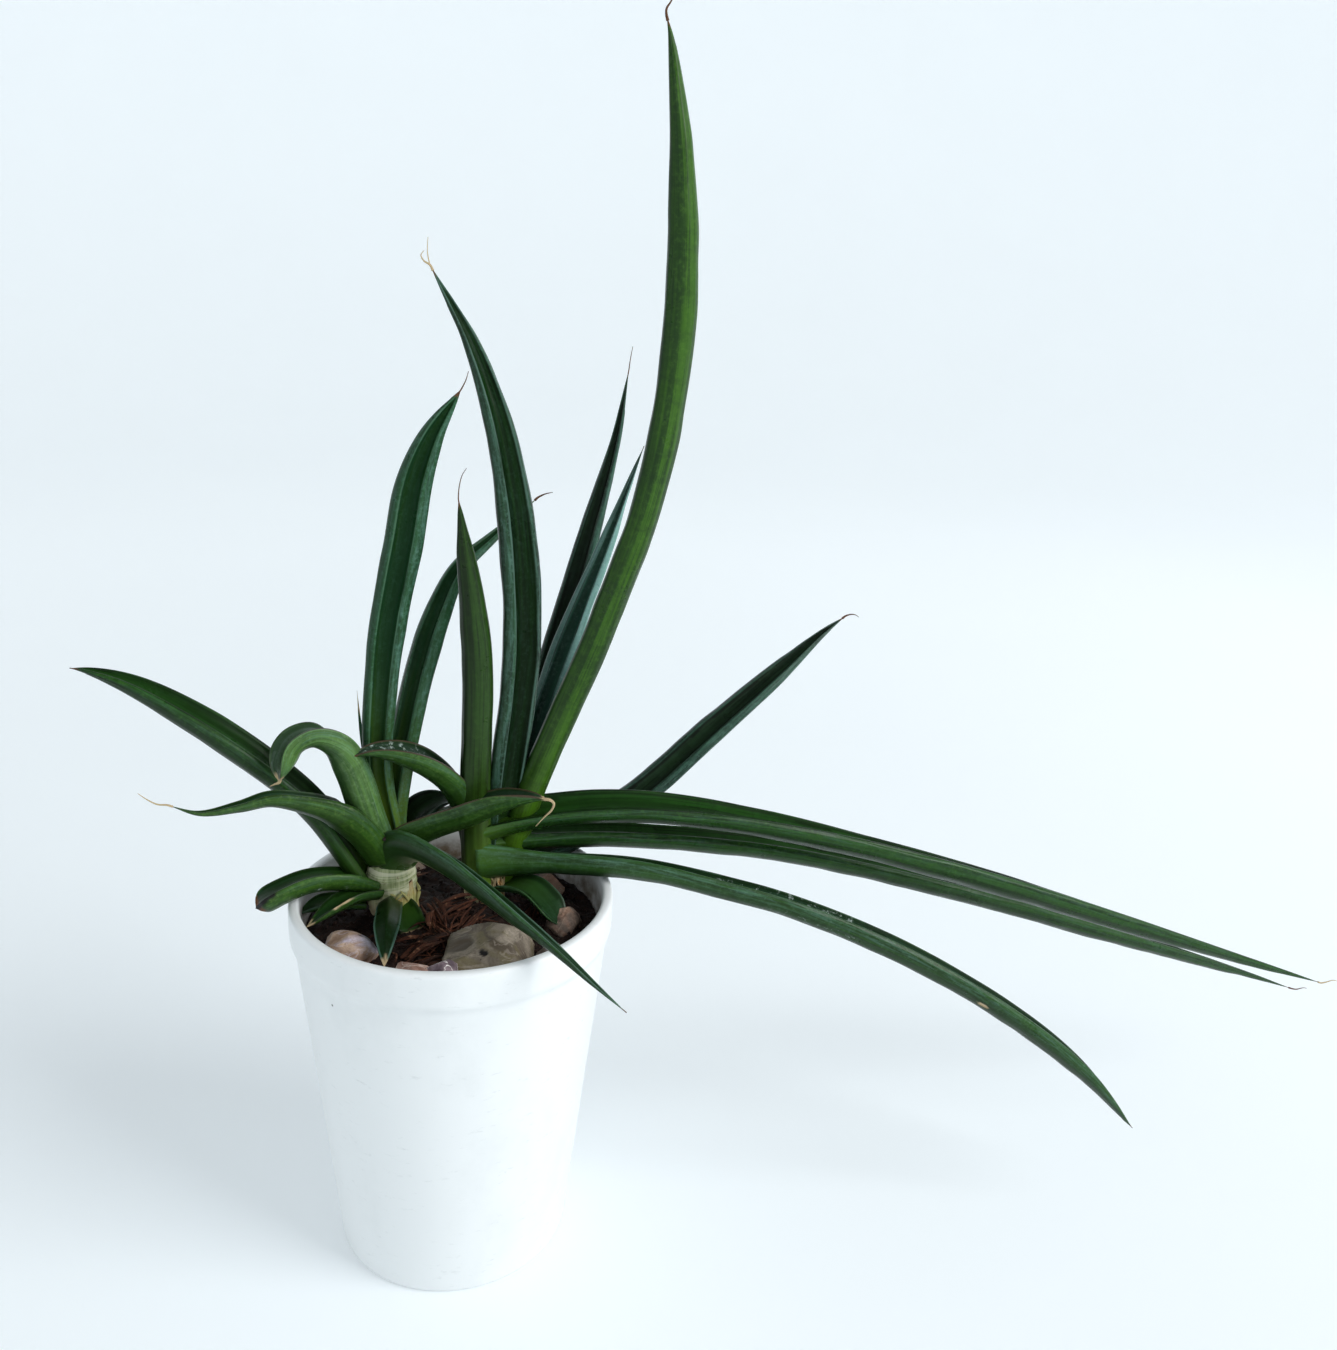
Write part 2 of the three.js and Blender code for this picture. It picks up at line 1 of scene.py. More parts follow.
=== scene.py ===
import itertools
import json
import math
import random
from typing import NamedTuple

import bpy
import numpy as np
from mathutils import Matrix, Vector


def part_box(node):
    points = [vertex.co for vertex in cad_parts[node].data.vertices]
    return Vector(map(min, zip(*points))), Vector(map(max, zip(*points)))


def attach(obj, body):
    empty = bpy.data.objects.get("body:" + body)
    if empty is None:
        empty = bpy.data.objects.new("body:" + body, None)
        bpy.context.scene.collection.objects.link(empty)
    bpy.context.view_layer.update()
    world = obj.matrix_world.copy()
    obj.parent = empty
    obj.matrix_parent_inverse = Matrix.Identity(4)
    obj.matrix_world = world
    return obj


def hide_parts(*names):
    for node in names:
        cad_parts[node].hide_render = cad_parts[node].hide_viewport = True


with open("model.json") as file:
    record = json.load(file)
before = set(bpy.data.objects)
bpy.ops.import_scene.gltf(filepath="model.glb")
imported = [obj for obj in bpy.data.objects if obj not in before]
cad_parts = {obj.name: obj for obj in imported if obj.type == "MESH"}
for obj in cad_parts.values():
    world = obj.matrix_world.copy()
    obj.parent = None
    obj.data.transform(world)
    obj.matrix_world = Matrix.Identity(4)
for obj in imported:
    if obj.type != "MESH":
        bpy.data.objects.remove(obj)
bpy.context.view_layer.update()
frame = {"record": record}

MM = 0.001

# ---------------------------------------------------------------- places, from the frame

POT_LOW, POT_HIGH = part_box("pot")
RIM_RADIUS = (POT_HIGH[0] - POT_LOW[0]) / 2 / MM
POT_HEIGHT = POT_HIGH[2] / MM
RIM_THICKNESS = 4
MOUTH_RADIUS = RIM_RADIUS - RIM_THICKNESS
BASE_RADIUS = 46
POT_WALL = 3.2
POT_FLOOR = 5
BAND_HEIGHT = 15  # the thicker band under the rim
BAND_STEP = 1.8
BAND_BOTTOM = POT_HEIGHT - BAND_HEIGHT
BODY_TOP_RADIUS = RIM_RADIUS - BAND_STEP
WALL_SLOPE = (BODY_TOP_RADIUS - BASE_RADIUS) / BAND_BOTTOM

CROWN_DEPTH = 14  # how far a crown reaches into the soil
SOIL_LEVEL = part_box("crown_left")[0][2] / MM + CROWN_DEPTH
SOIL_MOUND = 4
CROWN_HEIGHT = {"left": 22, "right": 26}


def inner_radius(height):
    """Inside of the pot's wall at a height, in millimetres."""
    return BASE_RADIUS + WALL_SLOPE * height - POT_WALL


SOIL_RADIUS = inner_radius(SOIL_LEVEL)


def crown_place(side):
    """A crown's axis and radius in millimetres, from its CAD node."""
    low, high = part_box("crown_" + side)
    return (low[0] + high[0]) / 2 / MM, (low[1] + high[1]) / 2 / MM, (high[0] - low[0]) / 2 / MM


CROWNS = {side: crown_place(side) for side in ("left", "right")}
SLOTS = {entry["node"]: entry["material_slot"] for entry in frame["record"]["subparts"]}


# ---------------------------------------------------------------- noise and meshes

def srgb(text):
    """A #rrggbb colour as the linear red, green and blue that a shader takes."""
    channels = [int(text[i:i + 2], 16) / 255 for i in (1, 3, 5)]
    return tuple(c / 12.92 if c <= 0.04045 else ((c + 0.055) / 1.055) ** 2.4 for c in channels)


HASH_PRIMES = (73856093, 19349663, 83492791)  # they scatter neighbouring cells and seeds
SEED_STEP, SEED_START = 40503, 977
MIXERS = (1274126177, 668265263)
LOW_BITS = 0x7FFFFFFF
TOP_NUMBER = 0xFFFF


def lattice(cell, seed):
    """A repeatable number from 0 to 1 for each whole-numbered cell."""
    key = cell[..., 0] * HASH_PRIMES[0] ^ cell[..., 1] * HASH_PRIMES[1] ^ cell[..., 2] * HASH_PRIMES[2]
    key = (key ^ (seed * SEED_STEP + SEED_START)) * MIXERS[0] & LOW_BITS
    key = (key ^ (key >> 15)) * MIXERS[1] & LOW_BITS
    return ((key ^ (key >> 13)) & TOP_NUMBER) / TOP_NUMBER


OCTAVE_SHIFT = 17.3  # keeps the octaves of one noise apart


def noise(points, seed=0, octaves=1):
    """Soft noise from -1 to 1 at each point, with a first cell of one unit."""
    points = np.asarray(points, float)
    total = 0
    for octave in range(octaves):
        scaled = points * 2 ** octave + OCTAVE_SHIFT * octave
        cell = np.floor(scaled).astype(np.int64)
        share = scaled - cell
        share = share * share * (3 - 2 * share)
        for corner in itertools.product((0, 1), repeat=3):
            weight = np.prod(np.where(np.array(corner) == 1, share, 1 - share), axis=-1)
            total = total + weight * (lattice(cell + np.array(corner), seed + octave) * 2 - 1) / 2 ** octave
    return total


def stacked(*columns):
    """Columns of any matching shapes side by side, as noise points."""
    return np.stack(np.broadcast_arrays(*columns), axis=-1)


def smoothstep(low, high, value):
    share = np.clip((value - low) / (high - low), 0, 1)
    return share * share * (3 - 2 * share)


def unit(vectors):
    return vectors / np.maximum(np.linalg.norm(vectors, axis=-1, keepdims=True), 1e-12)


def make_object(name, points, faces, materials):
    """A smoothly shaded object in the scene, from points in millimetres."""
    mesh = bpy.data.meshes.new(name)
    mesh.from_pydata((points * MM).tolist(), [], faces)
    mesh.polygons.foreach_set("use_smooth", [True] * len(faces))
    for material in materials:
        mesh.materials.append(material)
    made = bpy.data.objects.new(name, mesh)
    bpy.context.scene.collection.objects.link(made)
    return made


class Mesh:
    """Vertices in millimetres, faces, a flat map for each face corner, and named vertex masks."""

    def __init__(self):
        self.vertices, self.faces, self.flat, self.kinds = [], [], [], []
        self.masks = {}
        self.count = 0

    def add(self, points, faces, flat=None, girth=0, kind=0, **masks):
        """Adds a shape. flat gives each vertex its place on the flat map, in millimetres, and girth
        is the width of a map that goes round and meets itself."""
        points = np.asarray(points, float).reshape(-1, 3)
        size = len(points)
        self.faces += [tuple(i + self.count for i in face) for face in faces]
        self.kinds += [kind] * len(faces)
        if flat is None:
            flat = points[:, :2]
        for face in faces:
            corners = [tuple(flat[i]) for i in face]
            if girth and max(c[0] for c in corners) - min(c[0] for c in corners) > girth / 2:
                corners = [(u + girth if u < girth / 2 else u, v) for u, v in corners]
            self.flat += corners
        self.vertices.append(points)
        for name in set(self.masks) | set(masks):
            older = self.masks.setdefault(name, [np.zeros(self.count)] if self.count else [])
            older.append(np.broadcast_to(np.asarray(masks.get(name, 0.0), float).reshape(-1), size))
        self.count += size

    def piece(self, name, materials, slot, replaced):
        """Makes the Blender object, rides it on the plant's body and hides the CAD parts it replaces."""
        piece = make_object(name, np.concatenate(self.vertices), self.faces, materials)
        mesh = piece.data
        mesh.uv_layers.new(name="flat").data.foreach_set("uv", (np.array(self.flat) * MM).ravel())
        for mask, rows in self.masks.items():
            values = np.concatenate(rows).astype(np.float32)
            mesh.attributes.new(mask, "FLOAT", "POINT").data.foreach_set("value", values)
        mesh.polygons.foreach_set("material_index", self.kinds)
        mesh.update()
        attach(piece, "root")
        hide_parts(*replaced)


def skin(rows, columns, closed_ends=True):
    """Faces over rows of points that each close on themselves, with two end points last."""
    faces = []
    for row in range(rows - 1):
        for column in range(columns):
            after = (column + 1) % columns
            low, high = row * columns, (row + 1) * columns
            faces.append((low + column, low + after, high + after, high + column))
    if closed_ends:
        first, last = rows * columns, rows * columns + 1
        top = (rows - 1) * columns
        for column in range(columns):
            after = (column + 1) % columns
            faces.append((first, after, column))
            faces.append((last, top + column, top + after))
    return faces


SPAN_STEPS = 60  # steps between two points of a curve, before they are made even


def curve_through(points, samples=400):
    """Centripetal Catmull-Rom curve through points, as even steps: places, directions, length."""
    points = np.asarray(points, float)
    ends = 2 * points[0] - points[1], 2 * points[-1] - points[-2]
    chain = np.vstack([ends[0], points, ends[1]])
    places = []
    for i in range(1, len(chain) - 2):
        before, start, stop, after = chain[i - 1:i + 3]
        gaps = [max(np.linalg.norm(b - a) ** 0.5, 1e-4) for a, b in
                ((before, start), (start, stop), (stop, after))]
        leave = ((start - before) / gaps[0] - (stop - before) / (gaps[0] + gaps[1])
                 + (stop - start) / gaps[1]) * gaps[1]
        arrive = ((stop - start) / gaps[1] - (after - start) / (gaps[1] + gaps[2])
                  + (after - stop) / gaps[2]) * gaps[1]
        t = np.linspace(0, 1, SPAN_STEPS, endpoint=i == len(chain) - 3)[:, None]
        places.append(start + leave * t + (3 * (stop - start) - 2 * leave - arrive) * t ** 2
                      + (2 * (start - stop) + leave + arrive) * t ** 3)
    places = np.vstack(places)
    run = np.concatenate([[0], np.cumsum(np.linalg.norm(np.diff(places, axis=0), axis=1))])
    even = np.linspace(0, run[-1], samples)
    line = np.stack([np.interp(even, run, places[:, k]) for k in range(3)], axis=1)
    return line, unit(np.gradient(line, axis=0)), run[-1]


THREAD_SIDES = 8
THREAD_TIP = 0.22
ANY_WAY = np.array([0.3, 0.5, 0.81])  # no thread runs along this direction


def add_thread(mesh, points, thick, **masks):
    """A thread that tapers along a path, closed at both ends."""
    path, ahead, length = curve_through(points, samples=max(10, 6 * len(points)))
    across = unit(np.cross(ahead, ANY_WAY))
    other = np.cross(ahead, across)
    share = np.linspace(0, 1, len(path))
    radius = (thick + (THREAD_TIP - thick) * share)[:, None, None] / 2
    angle = np.linspace(0, 2 * math.pi, THREAD_SIDES, endpoint=False)[None, :, None]
    rings = path[:, None] + radius * (np.cos(angle) * across[:, None] + np.sin(angle) * other[:, None])
    rings = rings.reshape(-1, 3)
    points = np.vstack([rings, path[0], path[-1] + ahead[-1] * THREAD_TIP / 2])
    flat = np.zeros((len(points), 2))
    flat[:len(rings), 0] = np.tile(np.linspace(0, math.pi * thick, THREAD_SIDES), len(path))
    flat[:len(rings), 1] = np.repeat(share * length, THREAD_SIDES)
    mesh.add(points, skin(len(path), THREAD_SIDES), flat, **masks)


# ---------------------------------------------------------------- materials

class Shader:
    """A short way to write a material's nodes."""

    def __init__(self, name, roughness=0.5):
        self.material = bpy.data.materials.new(name)
        self.material.use_nodes = True
        self.tree = self.material.node_tree
        self.surface = self.tree.nodes["Principled BSDF"]
        self.surface.inputs["Roughness"].default_value = roughness
        self.places = self.new("ShaderNodeTexCoord").outputs["Object"]

    def new(self, kind, **settings):
        node = self.tree.nodes.new(kind)
        for key, value in settings.items():
            setattr(node, key, value)
        return node

    def put(self, socket, value):
        """Links a socket's output, or sets a plain number or colour."""
        if isinstance(value, bpy.types.NodeSocket):
            self.tree.links.new(value, socket)
        elif isinstance(value, str):
            socket.default_value = (*srgb(value), 1)
        else:
            socket.default_value = value

    def mask(self, name):
        return self.new("ShaderNodeAttribute", attribute_name=name).outputs["Fac"]

    def flat_map(self):
        return self.new("ShaderNodeUVMap", uv_map="flat").outputs["UV"]

    def scaled(self, vector, scale):
        node = self.new("ShaderNodeMapping")
        self.put(node.inputs["Vector"], vector)
        node.inputs["Scale"].default_value = scale
        return node.outputs["Vector"]

    def texture(self, kind, vector, scale, **inputs):
        """A texture node. A scale of three numbers stretches it."""
        node = self.new(kind)
        if isinstance(scale, tuple):
            vector, scale = self.scaled(vector, scale), 1
        self.put(node.inputs["Vector"], vector)
        for key, value in dict(inputs, Scale=scale).items():
            node.inputs[key].default_value = value
        return node.outputs

    def noise(self, vector, scale, detail=3, roughness=0.5, distortion=0):
        """Noise from 0 to 1."""
        return self.texture("ShaderNodeTexNoise", vector, scale, Detail=detail, Roughness=roughness,
                            Distortion=distortion)["Fac"]

    def cells(self, vector, scale, output="Distance"):
        """Distance from the middle of the nearest cell, or the cell's chance colour."""
        return self.texture("ShaderNodeTexVoronoi", vector, scale)[output]

    def math(self, operation, first, second=0.0):
        node = self.new("ShaderNodeMath", operation=operation)
        self.put(node.inputs[0], first)
        self.put(node.inputs[1], second)
        return node.outputs[0]

    def times(self, first, *others):
        for other in others:
            first = self.math("MULTIPLY", first, other)
        return first

    def span(self, value, low, high, start=0.0, stop=1.0):
        """value from low..high to start..stop, smoothly and clamped."""
        node = self.new("ShaderNodeMapRange", interpolation_type="SMOOTHSTEP")
        for key, number in (("From Min", low), ("From Max", high), ("To Min", start), ("To Max", stop)):
            node.inputs[key].default_value = number
        self.put(node.inputs["Value"], value)
        return node.outputs["Result"]

    def mix(self, share, first, second):
        node = self.new("ShaderNodeMix", data_type="RGBA")
        self.put(node.inputs["Factor"], share)
        self.put(node.inputs[6], first)
        self.put(node.inputs[7], second)
        return node.outputs[2]

    def covered(self, colour, *layers):
        """A colour under (share, colour) layers, the last on top."""
        for share, over in layers:
            colour = self.mix(share, colour, over)
        return colour

    def bump(self, *layers):
        """Bump from (height, strength, depth in millimetres) layers, one on another."""
        normal = None
        for height, strength, depth in layers:
            node = self.new("ShaderNodeBump")
            node.inputs["Strength"].default_value = strength
            node.inputs["Distance"].default_value = depth * MM
            self.put(node.inputs["Height"], height)
            if normal is not None:
                self.put(node.inputs["Normal"], normal)
            normal = node.outputs["Normal"]
        self.put(self.surface.inputs["Normal"], normal)

    def finish(self, colour, roughness=None, specular=None):
        self.put(self.surface.inputs["Base Color"], colour)
        if roughness is not None:
            self.put(self.surface.inputs["Roughness"], roughness)
        if specular is not None:
            self.put(self.surface.inputs["Specular IOR Level"], specular)
        return self.material


# A leaf's look: colours of its back, channel, foot, margin line, dark streaks and painted shade, pale flecks
# and painted sheen, then how strong its lengthwise lines, cross bands, bloom with painted sheen and mottling
# are.
LOOK_KEYS = ("back", "face", "foot", "margin", "dark", "fleck_and_sheen", "lines", "bands", "bloom", "mottle")
LOOKS = {name: dict(zip(LOOK_KEYS, row)) for name, *row in (
    ("bright", "#32590f", "#0f2018", "#4c6d17", "#14220e", "#102a0b", "#4f7a29", 0.75, 0.35, 0.0, 0.25),
    ("grooved", "#244013", "#254212", "#587525", "#12230a", "#0c1d05", "#385a21", 0.8, 0.1, 0.0, 0.2),
    ("striped", "#294a31", "#0f2a0a", "#3a571f", "#445f53", "#081706", "#587f6c", 0.85, 0.15, 0.3, 0.4),
    ("dusky", "#2f5040", "#1c2f1c", "#2b3f17", "#364339", "#080e08", "#4b6f5c", 0.6, 0.25, 0.15, 0.3),
    # pale: its bluish back and flecks are partly the leaf's own grey-blue, partly a painted reflection of the
    # bright sky
    ("pale", "#7ba49c", "#17261d", "#3c5a26", "#26352e", "#244437", "#a9c9c4", 0.3, 0.05, 0.2, 0.4),
    ("deep", "#244a17", "#1e4214", "#4c6c20", "#0b1d0a", "#0c2007", "#39631f", 0.6, 0.2, 0.1, 0.35),
    ("twotone", "#26502d", "#0f2e08", "#7f9c20", "#42654c", "#123019", "#5d9079", 0.7, 0.1, 0.25, 0.3),
    ("sage", "#567a3c", "#5d6b62", "#33531d", "#453d3f", "#20391a", "#7b9a67", 0.6, 0.3, 0.25, 0.3),
    ("blue", "#2b4f1b", "#1f3a24", "#3c6119", "#4f6a5b", "#0f230c", "#4b6d49", 0.5, 0.2, 0.25, 0.4),
    ("grey_face", "#335619", "#27392b", "#3c621f", "#43382b", "#0e2508", "#5c7f3c", 0.4, 0.3, 0.15, 0.4),
    ("fresh", "#33551a", "#1c3822", "#2f5213", "#26381e", "#0e2407", "#6b8f3c", 0.7, 0.35, 0.1, 0.25),
)}
LEAF_SUBSURFACE = (0.06, 0.002, (0.4, 1.0, 0.2))  # weight, scale in metres, and radius by colour


def leaf_material(name):
    """Waxy leaf skin: lengthwise lines, faint cross bands, a pale bloom that is partly painted sheen, painted
    sheen streaks, spots, margin, dry end and painted shade on the side away from the light.
    """
    look = LOOKS[name]
    s = Shader("leaf_" + name)
    flat = s.flat_map()
    channel = s.mask("channel")
    flank = s.span(channel, 0, 1, 1, 0.1)
    broad = s.noise(flat, (420, 6, 1), 2, 0.5)
    fine = s.noise(flat, (1900, 26, 1), 4, 0.6)
    hair = s.noise(flat, (5200, 160, 1), 2, 0.6)
    bands = s.noise(flat, (38, 150, 1), 3, 0.55, 0.6)
    cloud = s.noise(s.places, 55, 4, 0.6)
    speck = s.cells(flat, (1100, 700, 1))
    mottle = s.noise(s.places, (620, 620, 620), 4, 0.65)
    hatch = s.noise(flat, (520, 2600, 1), 3, 0.6)
    waxy = s.noise(flat, (1300, 70, 1), 5, 0.7)
    spotty = s.noise(flat, (700, 420, 1), 6, 0.75)
    # painted sheen: pale hair-fine streaks, laid on the back below, that stand in for glossy highlights
    light = s.times(s.span(hair, 0.48, 0.75), s.span(cloud, 0.4, 0.7, 0.15, 0.6))
    colour = s.covered(
        look["back"],
        (channel, look["face"]),
        (s.times(s.span(broad, 0.56, 0.40), look["lines"]), look["dark"]),
        (s.times(s.span(fine, 0.50, 0.36), look["lines"]), look["dark"]),
        (s.times(s.span(bands, 0.52, 0.38), look["bands"]), look["dark"]),
        (s.span(s.mask("foot"), 0.05, 0.95, 0, 0.8), look["foot"]),
        (s.times(s.span(mottle, 0.46, 0.70), look["mottle"], s.span(channel, 0, 1, 1, 0.12)), look["fleck_and_sheen"]),
        (s.times(s.span(hatch, 0.60, 0.74, 0, 0.35), flank, s.span(cloud, 0.45, 0.65)), look["fleck_and_sheen"]),
        # painted sheen streaks over the back
        (s.times(light, flank, 0.2), look["fleck_and_sheen"]),
        # pale waxy bloom, strongest near the edges, partly painted sheen there
        (s.times(s.mask("bloom"), flank, s.span(waxy, 0.42, 0.66), look["bloom"]), "#6f9a8c"),
        (s.times(s.mask("spots"), s.span(spotty, 0.52, 0.66)), "#b9c9c0"),
        # painted shade: the dark colour laid on the side of the leaf turned away from the window light
        (s.times(s.mask("shade"), 0.8), look["dark"]),
        (s.span(s.mask("margin"), 0.25, 0.8), look["margin"]),
        (s.times(s.span(speck, 0.16, 0.08), 0.35), "#16210f"),
        (s.mask("cream"), s.mix(fine, "#8d6f4a", "#d9c7a2")),
        (s.mask("brown"), s.mix(fine, "#2a1710", "#7a5238")),
        (s.mask("black"), "#0c0908"),
    )
    dull = s.math("MAXIMUM", s.mask("cream"), s.mask("brown"))
    rough = s.math("ADD", s.span(cloud, 0.3, 0.7, 0.26, 0.40), s.times(dull, 0.3))
    s.bump((fine, 0.5, 0.12), (s.noise(flat, (2600, 900, 1), 4, 0.7), 0.35, 0.05), (bands, 0.3, 0.15))
    for key, value in zip(("Weight", "Scale", "Radius"), LEAF_SUBSURFACE):
        s.surface.inputs["Subsurface " + key].default_value = value
    return s.finish(colour, rough, s.span(channel, 0, 1, 0.2, 0.06))


def pot_material():
    """White moulded plastic: satin, faintly scuffed, with grey smudges and a few dark specks."""
    s = Shader("pot_white")
    smudge = s.noise(s.places, (22, 22, 14), 5, 0.65)
    scuff = s.noise(s.places, (140, 140, 420), 4, 0.7)
    speck = s.cells(s.places, 75)
    lucky = s.cells(s.places, 75, output="Color")
    height = s.new("ShaderNodeSeparateXYZ")
    s.put(height.inputs[0], s.places)
    inside = s.times(s.mask("inside"), s.span(s.noise(s.places, 60, 5, 0.7), 0.35, 0.7, 0.25, 1))
    dots = s.times(s.span(speck, 0.055, 0.03), s.span(lucky, 0.80, 0.84))
    colour = s.covered(
        "#ebeded",
        (s.span(smudge, 0.50, 0.74, 0, 0.35), "#d9dcdc"),
        (s.span(scuff, 0.60, 0.78, 0, 0.45), "#bfc2c2"),
        (s.times(inside, s.span(height.outputs[2], 0.147, 0.139)), "#6e5c46"),
        (s.times(dots, s.mask("outside")), "#4a4643"),
    )
    s.bump((scuff, 0.15, 0.05), (s.noise(s.places, 900, 3, 0.6), 0.08, 0.03), (smudge, 0.2, 0.2))
    return s.finish(colour, s.span(smudge, 0.3, 0.7, 0.34, 0.5), 0.45)


def soil_material():
    """Damp potting mix: nearly black, crumbly, with brown fibres and pale grit."""
    s = Shader("potting_mix")
    coarse = s.noise(s.places, 260, 6, 0.7)
    grit = s.cells(s.places, 900)
    fibre = s.noise(s.places, (300, 2200, 900), 3, 0.6, 1.5)
    colour = s.covered(
        "#0d0908",
        (s.span(coarse, 0.3, 0.7), "#33211a"),
        (s.span(fibre, 0.60, 0.72, 0, 0.8), "#5a3726"),
        (s.span(grit, 0.10, 0.05, 0, 0.5), "#8b7e70"),
    )
    s.bump((coarse, 0.9, 1.2), (grit, 0.5, 0.4))
    return s.finish(colour, s.span(coarse, 0.3, 0.7, 0.6, 0.95), 0.3)


# A pebble's look: main colour, hollows, veins and patches, then how strong its veins are.
STONE_KEYS = ("base", "deep", "vein", "patch", "veins")
STONE_LOOKS = {name: dict(zip(STONE_KEYS, row)) for name, *row in (
    ("olive", "#94897a", "#574c3f", "#b5a99a", "#73694a", 0.4),
    ("veined", "#a08d92", "#54454d", "#efe9e4", "#c9b9b4", 1.0),
    ("pink", "#c9aa9c", "#7d5a4c", "#ead9cf", "#a98674", 0.5),
    ("beige", "#cbb09a", "#8c6f5c", "#d9d3e2", "#b9b4cc", 0.35),
    ("streaked", "#bdb2ab", "#5c5049", "#efeae6", "#8c7f77", 0.9),
    ("knobbly", "#857467", "#3d2f28", "#b39e8e", "#9c7a66", 0.4),
)}


def stone_material(name):
    """Weathered pebble: clouded colour, dark hollows, pale veins and a few pits."""
    look = STONE_LOOKS[name]
    s = Shader("stone_" + name)
    cloud = s.noise(s.places, 95, 5, 0.6, 0.8)
    patch = s.noise(s.places, 48, 3, 0.5, 1.2)
    grain = s.noise(s.places, 1300, 4, 0.65)
    vein = s.noise(s.places, (60, 120, 90), 3, 0.5, 1.0)
    pit = s.cells(s.places, 330)
    line = s.math("ABSOLUTE", s.math("SUBTRACT", vein, 0.5))
    colour = s.covered(
        look["deep"],
        (s.span(cloud, 0.38, 0.62), look["base"]),
        (s.span(patch, 0.52, 0.64, 0, 0.8), look["patch"]),
        (s.times(s.span(line, 0.022, 0.004), look["veins"]), look["vein"]),
        (s.mask("hollow"), look["deep"]),
        (s.mask("pale"), look["vein"]),
        (s.span(grain, 0.35, 0.65, 0.35, 0), look["deep"]),
        (s.span(pit, 0.09, 0.04, 0, 0.8), "#1d1512"),
        (s.mask("black"), "#0b0807"),
    )
    s.bump((cloud, 0.6, 0.7), (grain, 0.4, 0.15), (s.span(pit, 0.12, 0.02, 1, 0), 0.5, 0.3))
    return s.finish(colour, s.span(cloud, 0.3, 0.7, 0.5, 0.75), 0.4)


def bark_material():
    """Reddish-brown shredded bark: stringy fibres, dark gaps and torn pale ends."""
    s = Shader("bark_fibre")
    flat = s.flat_map()
    fibre = s.noise(flat, (2600, 130, 1), 4, 0.65, 0.4)
    broad = s.noise(s.places, 160, 4, 0.6)
    torn = s.noise(s.places, 420, 3, 0.6)
    colour = s.covered(
        "#140906",
        (s.span(fibre, 0.30, 0.68), "#673c28"),
        (s.span(broad, 0.45, 0.72, 0, 0.75), "#3a1b10"),
        (s.span(torn, 0.58, 0.74, 0, 0.6), "#b08463"),
        (s.mask("dark"), "#120b08"),
    )
    s.bump((fibre, 0.9, 0.5), (broad, 0.5, 0.6))
    return s.finish(colour, 0.82, 0.25)


def crown_material():
    """Short fleshy stem: green above, papery straw below, with rings, scratches and brown bits."""
    s = Shader("crown_skin")
    flat = s.flat_map()
    rings = s.noise(flat, (30, 420, 1), 4, 0.6, 1.0)
    fibre = s.noise(flat, (900, 60, 1), 4, 0.65)
    cloud = s.noise(s.places, 140, 5, 0.65)
    brown = s.noise(s.places, 320, 5, 0.7)
    colour = s.covered(
        "#7a8957",
        (s.span(fibre, 0.3, 0.7), "#b4ba8c"),
        (s.span(rings, 0.50, 0.66, 0, 0.7), "#dcdabd"),
        (s.times(s.mask("papery"), s.span(cloud, 0.30, 0.55, 0.35, 1)), s.mix(fibre, "#97855c", "#dfd5b2")),
        (s.span(brown, 0.58, 0.70, 0, 0.85), "#5b3a20"),
        (s.mask("edge"), s.mix(fibre, "#060404", "#2b1a12")),
    )
    s.bump((rings, 0.6, 0.4), (fibre, 0.5, 0.25))
    return s.finish(colour, s.span(cloud, 0.3, 0.7, 0.45, 0.7), 0.4)


def sheath_material():
    """Dry papery sheath: straw and orange-brown fibres with dark torn edges."""
    s = Shader("dry_sheath")
    flat = s.flat_map()
    fibre = s.noise(flat, (1700, 60, 1), 5, 0.7, 0.3)
    cloud = s.noise(s.places, 210, 4, 0.6)
    colour = s.covered(
        "#7a4a26",
        (s.span(fibre, 0.32, 0.66), "#dfcf9f"),
        (s.span(cloud, 0.48, 0.70, 0, 0.8), "#b0702f"),
        (s.mask("green"), s.mix(fibre, "#7d9147", "#b9bf7a")),
        (s.mask("edge"), "#4a2a17"),
    )
    s.bump((fibre, 0.9, 0.35), (cloud, 0.4, 0.4))
    return s.finish(colour, 0.68, 0.35)


# ---------------------------------------------------------------- leaves

BACK_COLUMNS = 44
SHOULDER_COLUMNS = 5
FACE_COLUMNS = 14
RIGHT_RIDGE = BACK_COLUMNS + SHOULDER_COLUMNS
LEFT_RIDGE = RIGHT_RIDGE + FACE_COLUMNS
ROW_STEP = 1.3
SPARE_ROWS = 24
LEAST_WIDTH = 0.03  # as a share of a leaf's full width
LIT_SIDE = unit(np.array([0.8, -0.45, 0.45]))  # painted shade: leaves are drawn a deeper green on the side turned away from it


class Leaf(NamedTuple):
    """A row of the table below, in millimetres and degrees."""
    crown: str
    foot: tuple  # from the crown's axis, in crown radii
    heading: float
    width: float
    thickness: float
    taper: tuple  # width at the foot as a share, where it starts to narrow, and how late it does
    section: tuple  # half width of the channel as a share, and how far its shoulders fall
    rolls: list  # turns about the spine, each with its share of the way along
    spine: list  # (out, up) from the foot at soil level
    look: str
    end: tuple = (3, "brown")  # dry length at the tip, and its kind
    line: float = 0.8  # strength of the margin line
    line_width: float = 0.5
    threads: list = []  # (steps from the tip, thickness, kind) of each dry thread beyond it
    marks: list = []  # (kind, side, along, across, length, breadth) patches
    foot_glow: float = 20
    swell_to: float = 0.3  # share of the way along at which the full width is reached
    channel: float = 0.3  # depth as a share of the thickness
    hollow: float = 2.2  # how flat the channel's floor is
    bead: float = 0.22  # height of the rounded edge


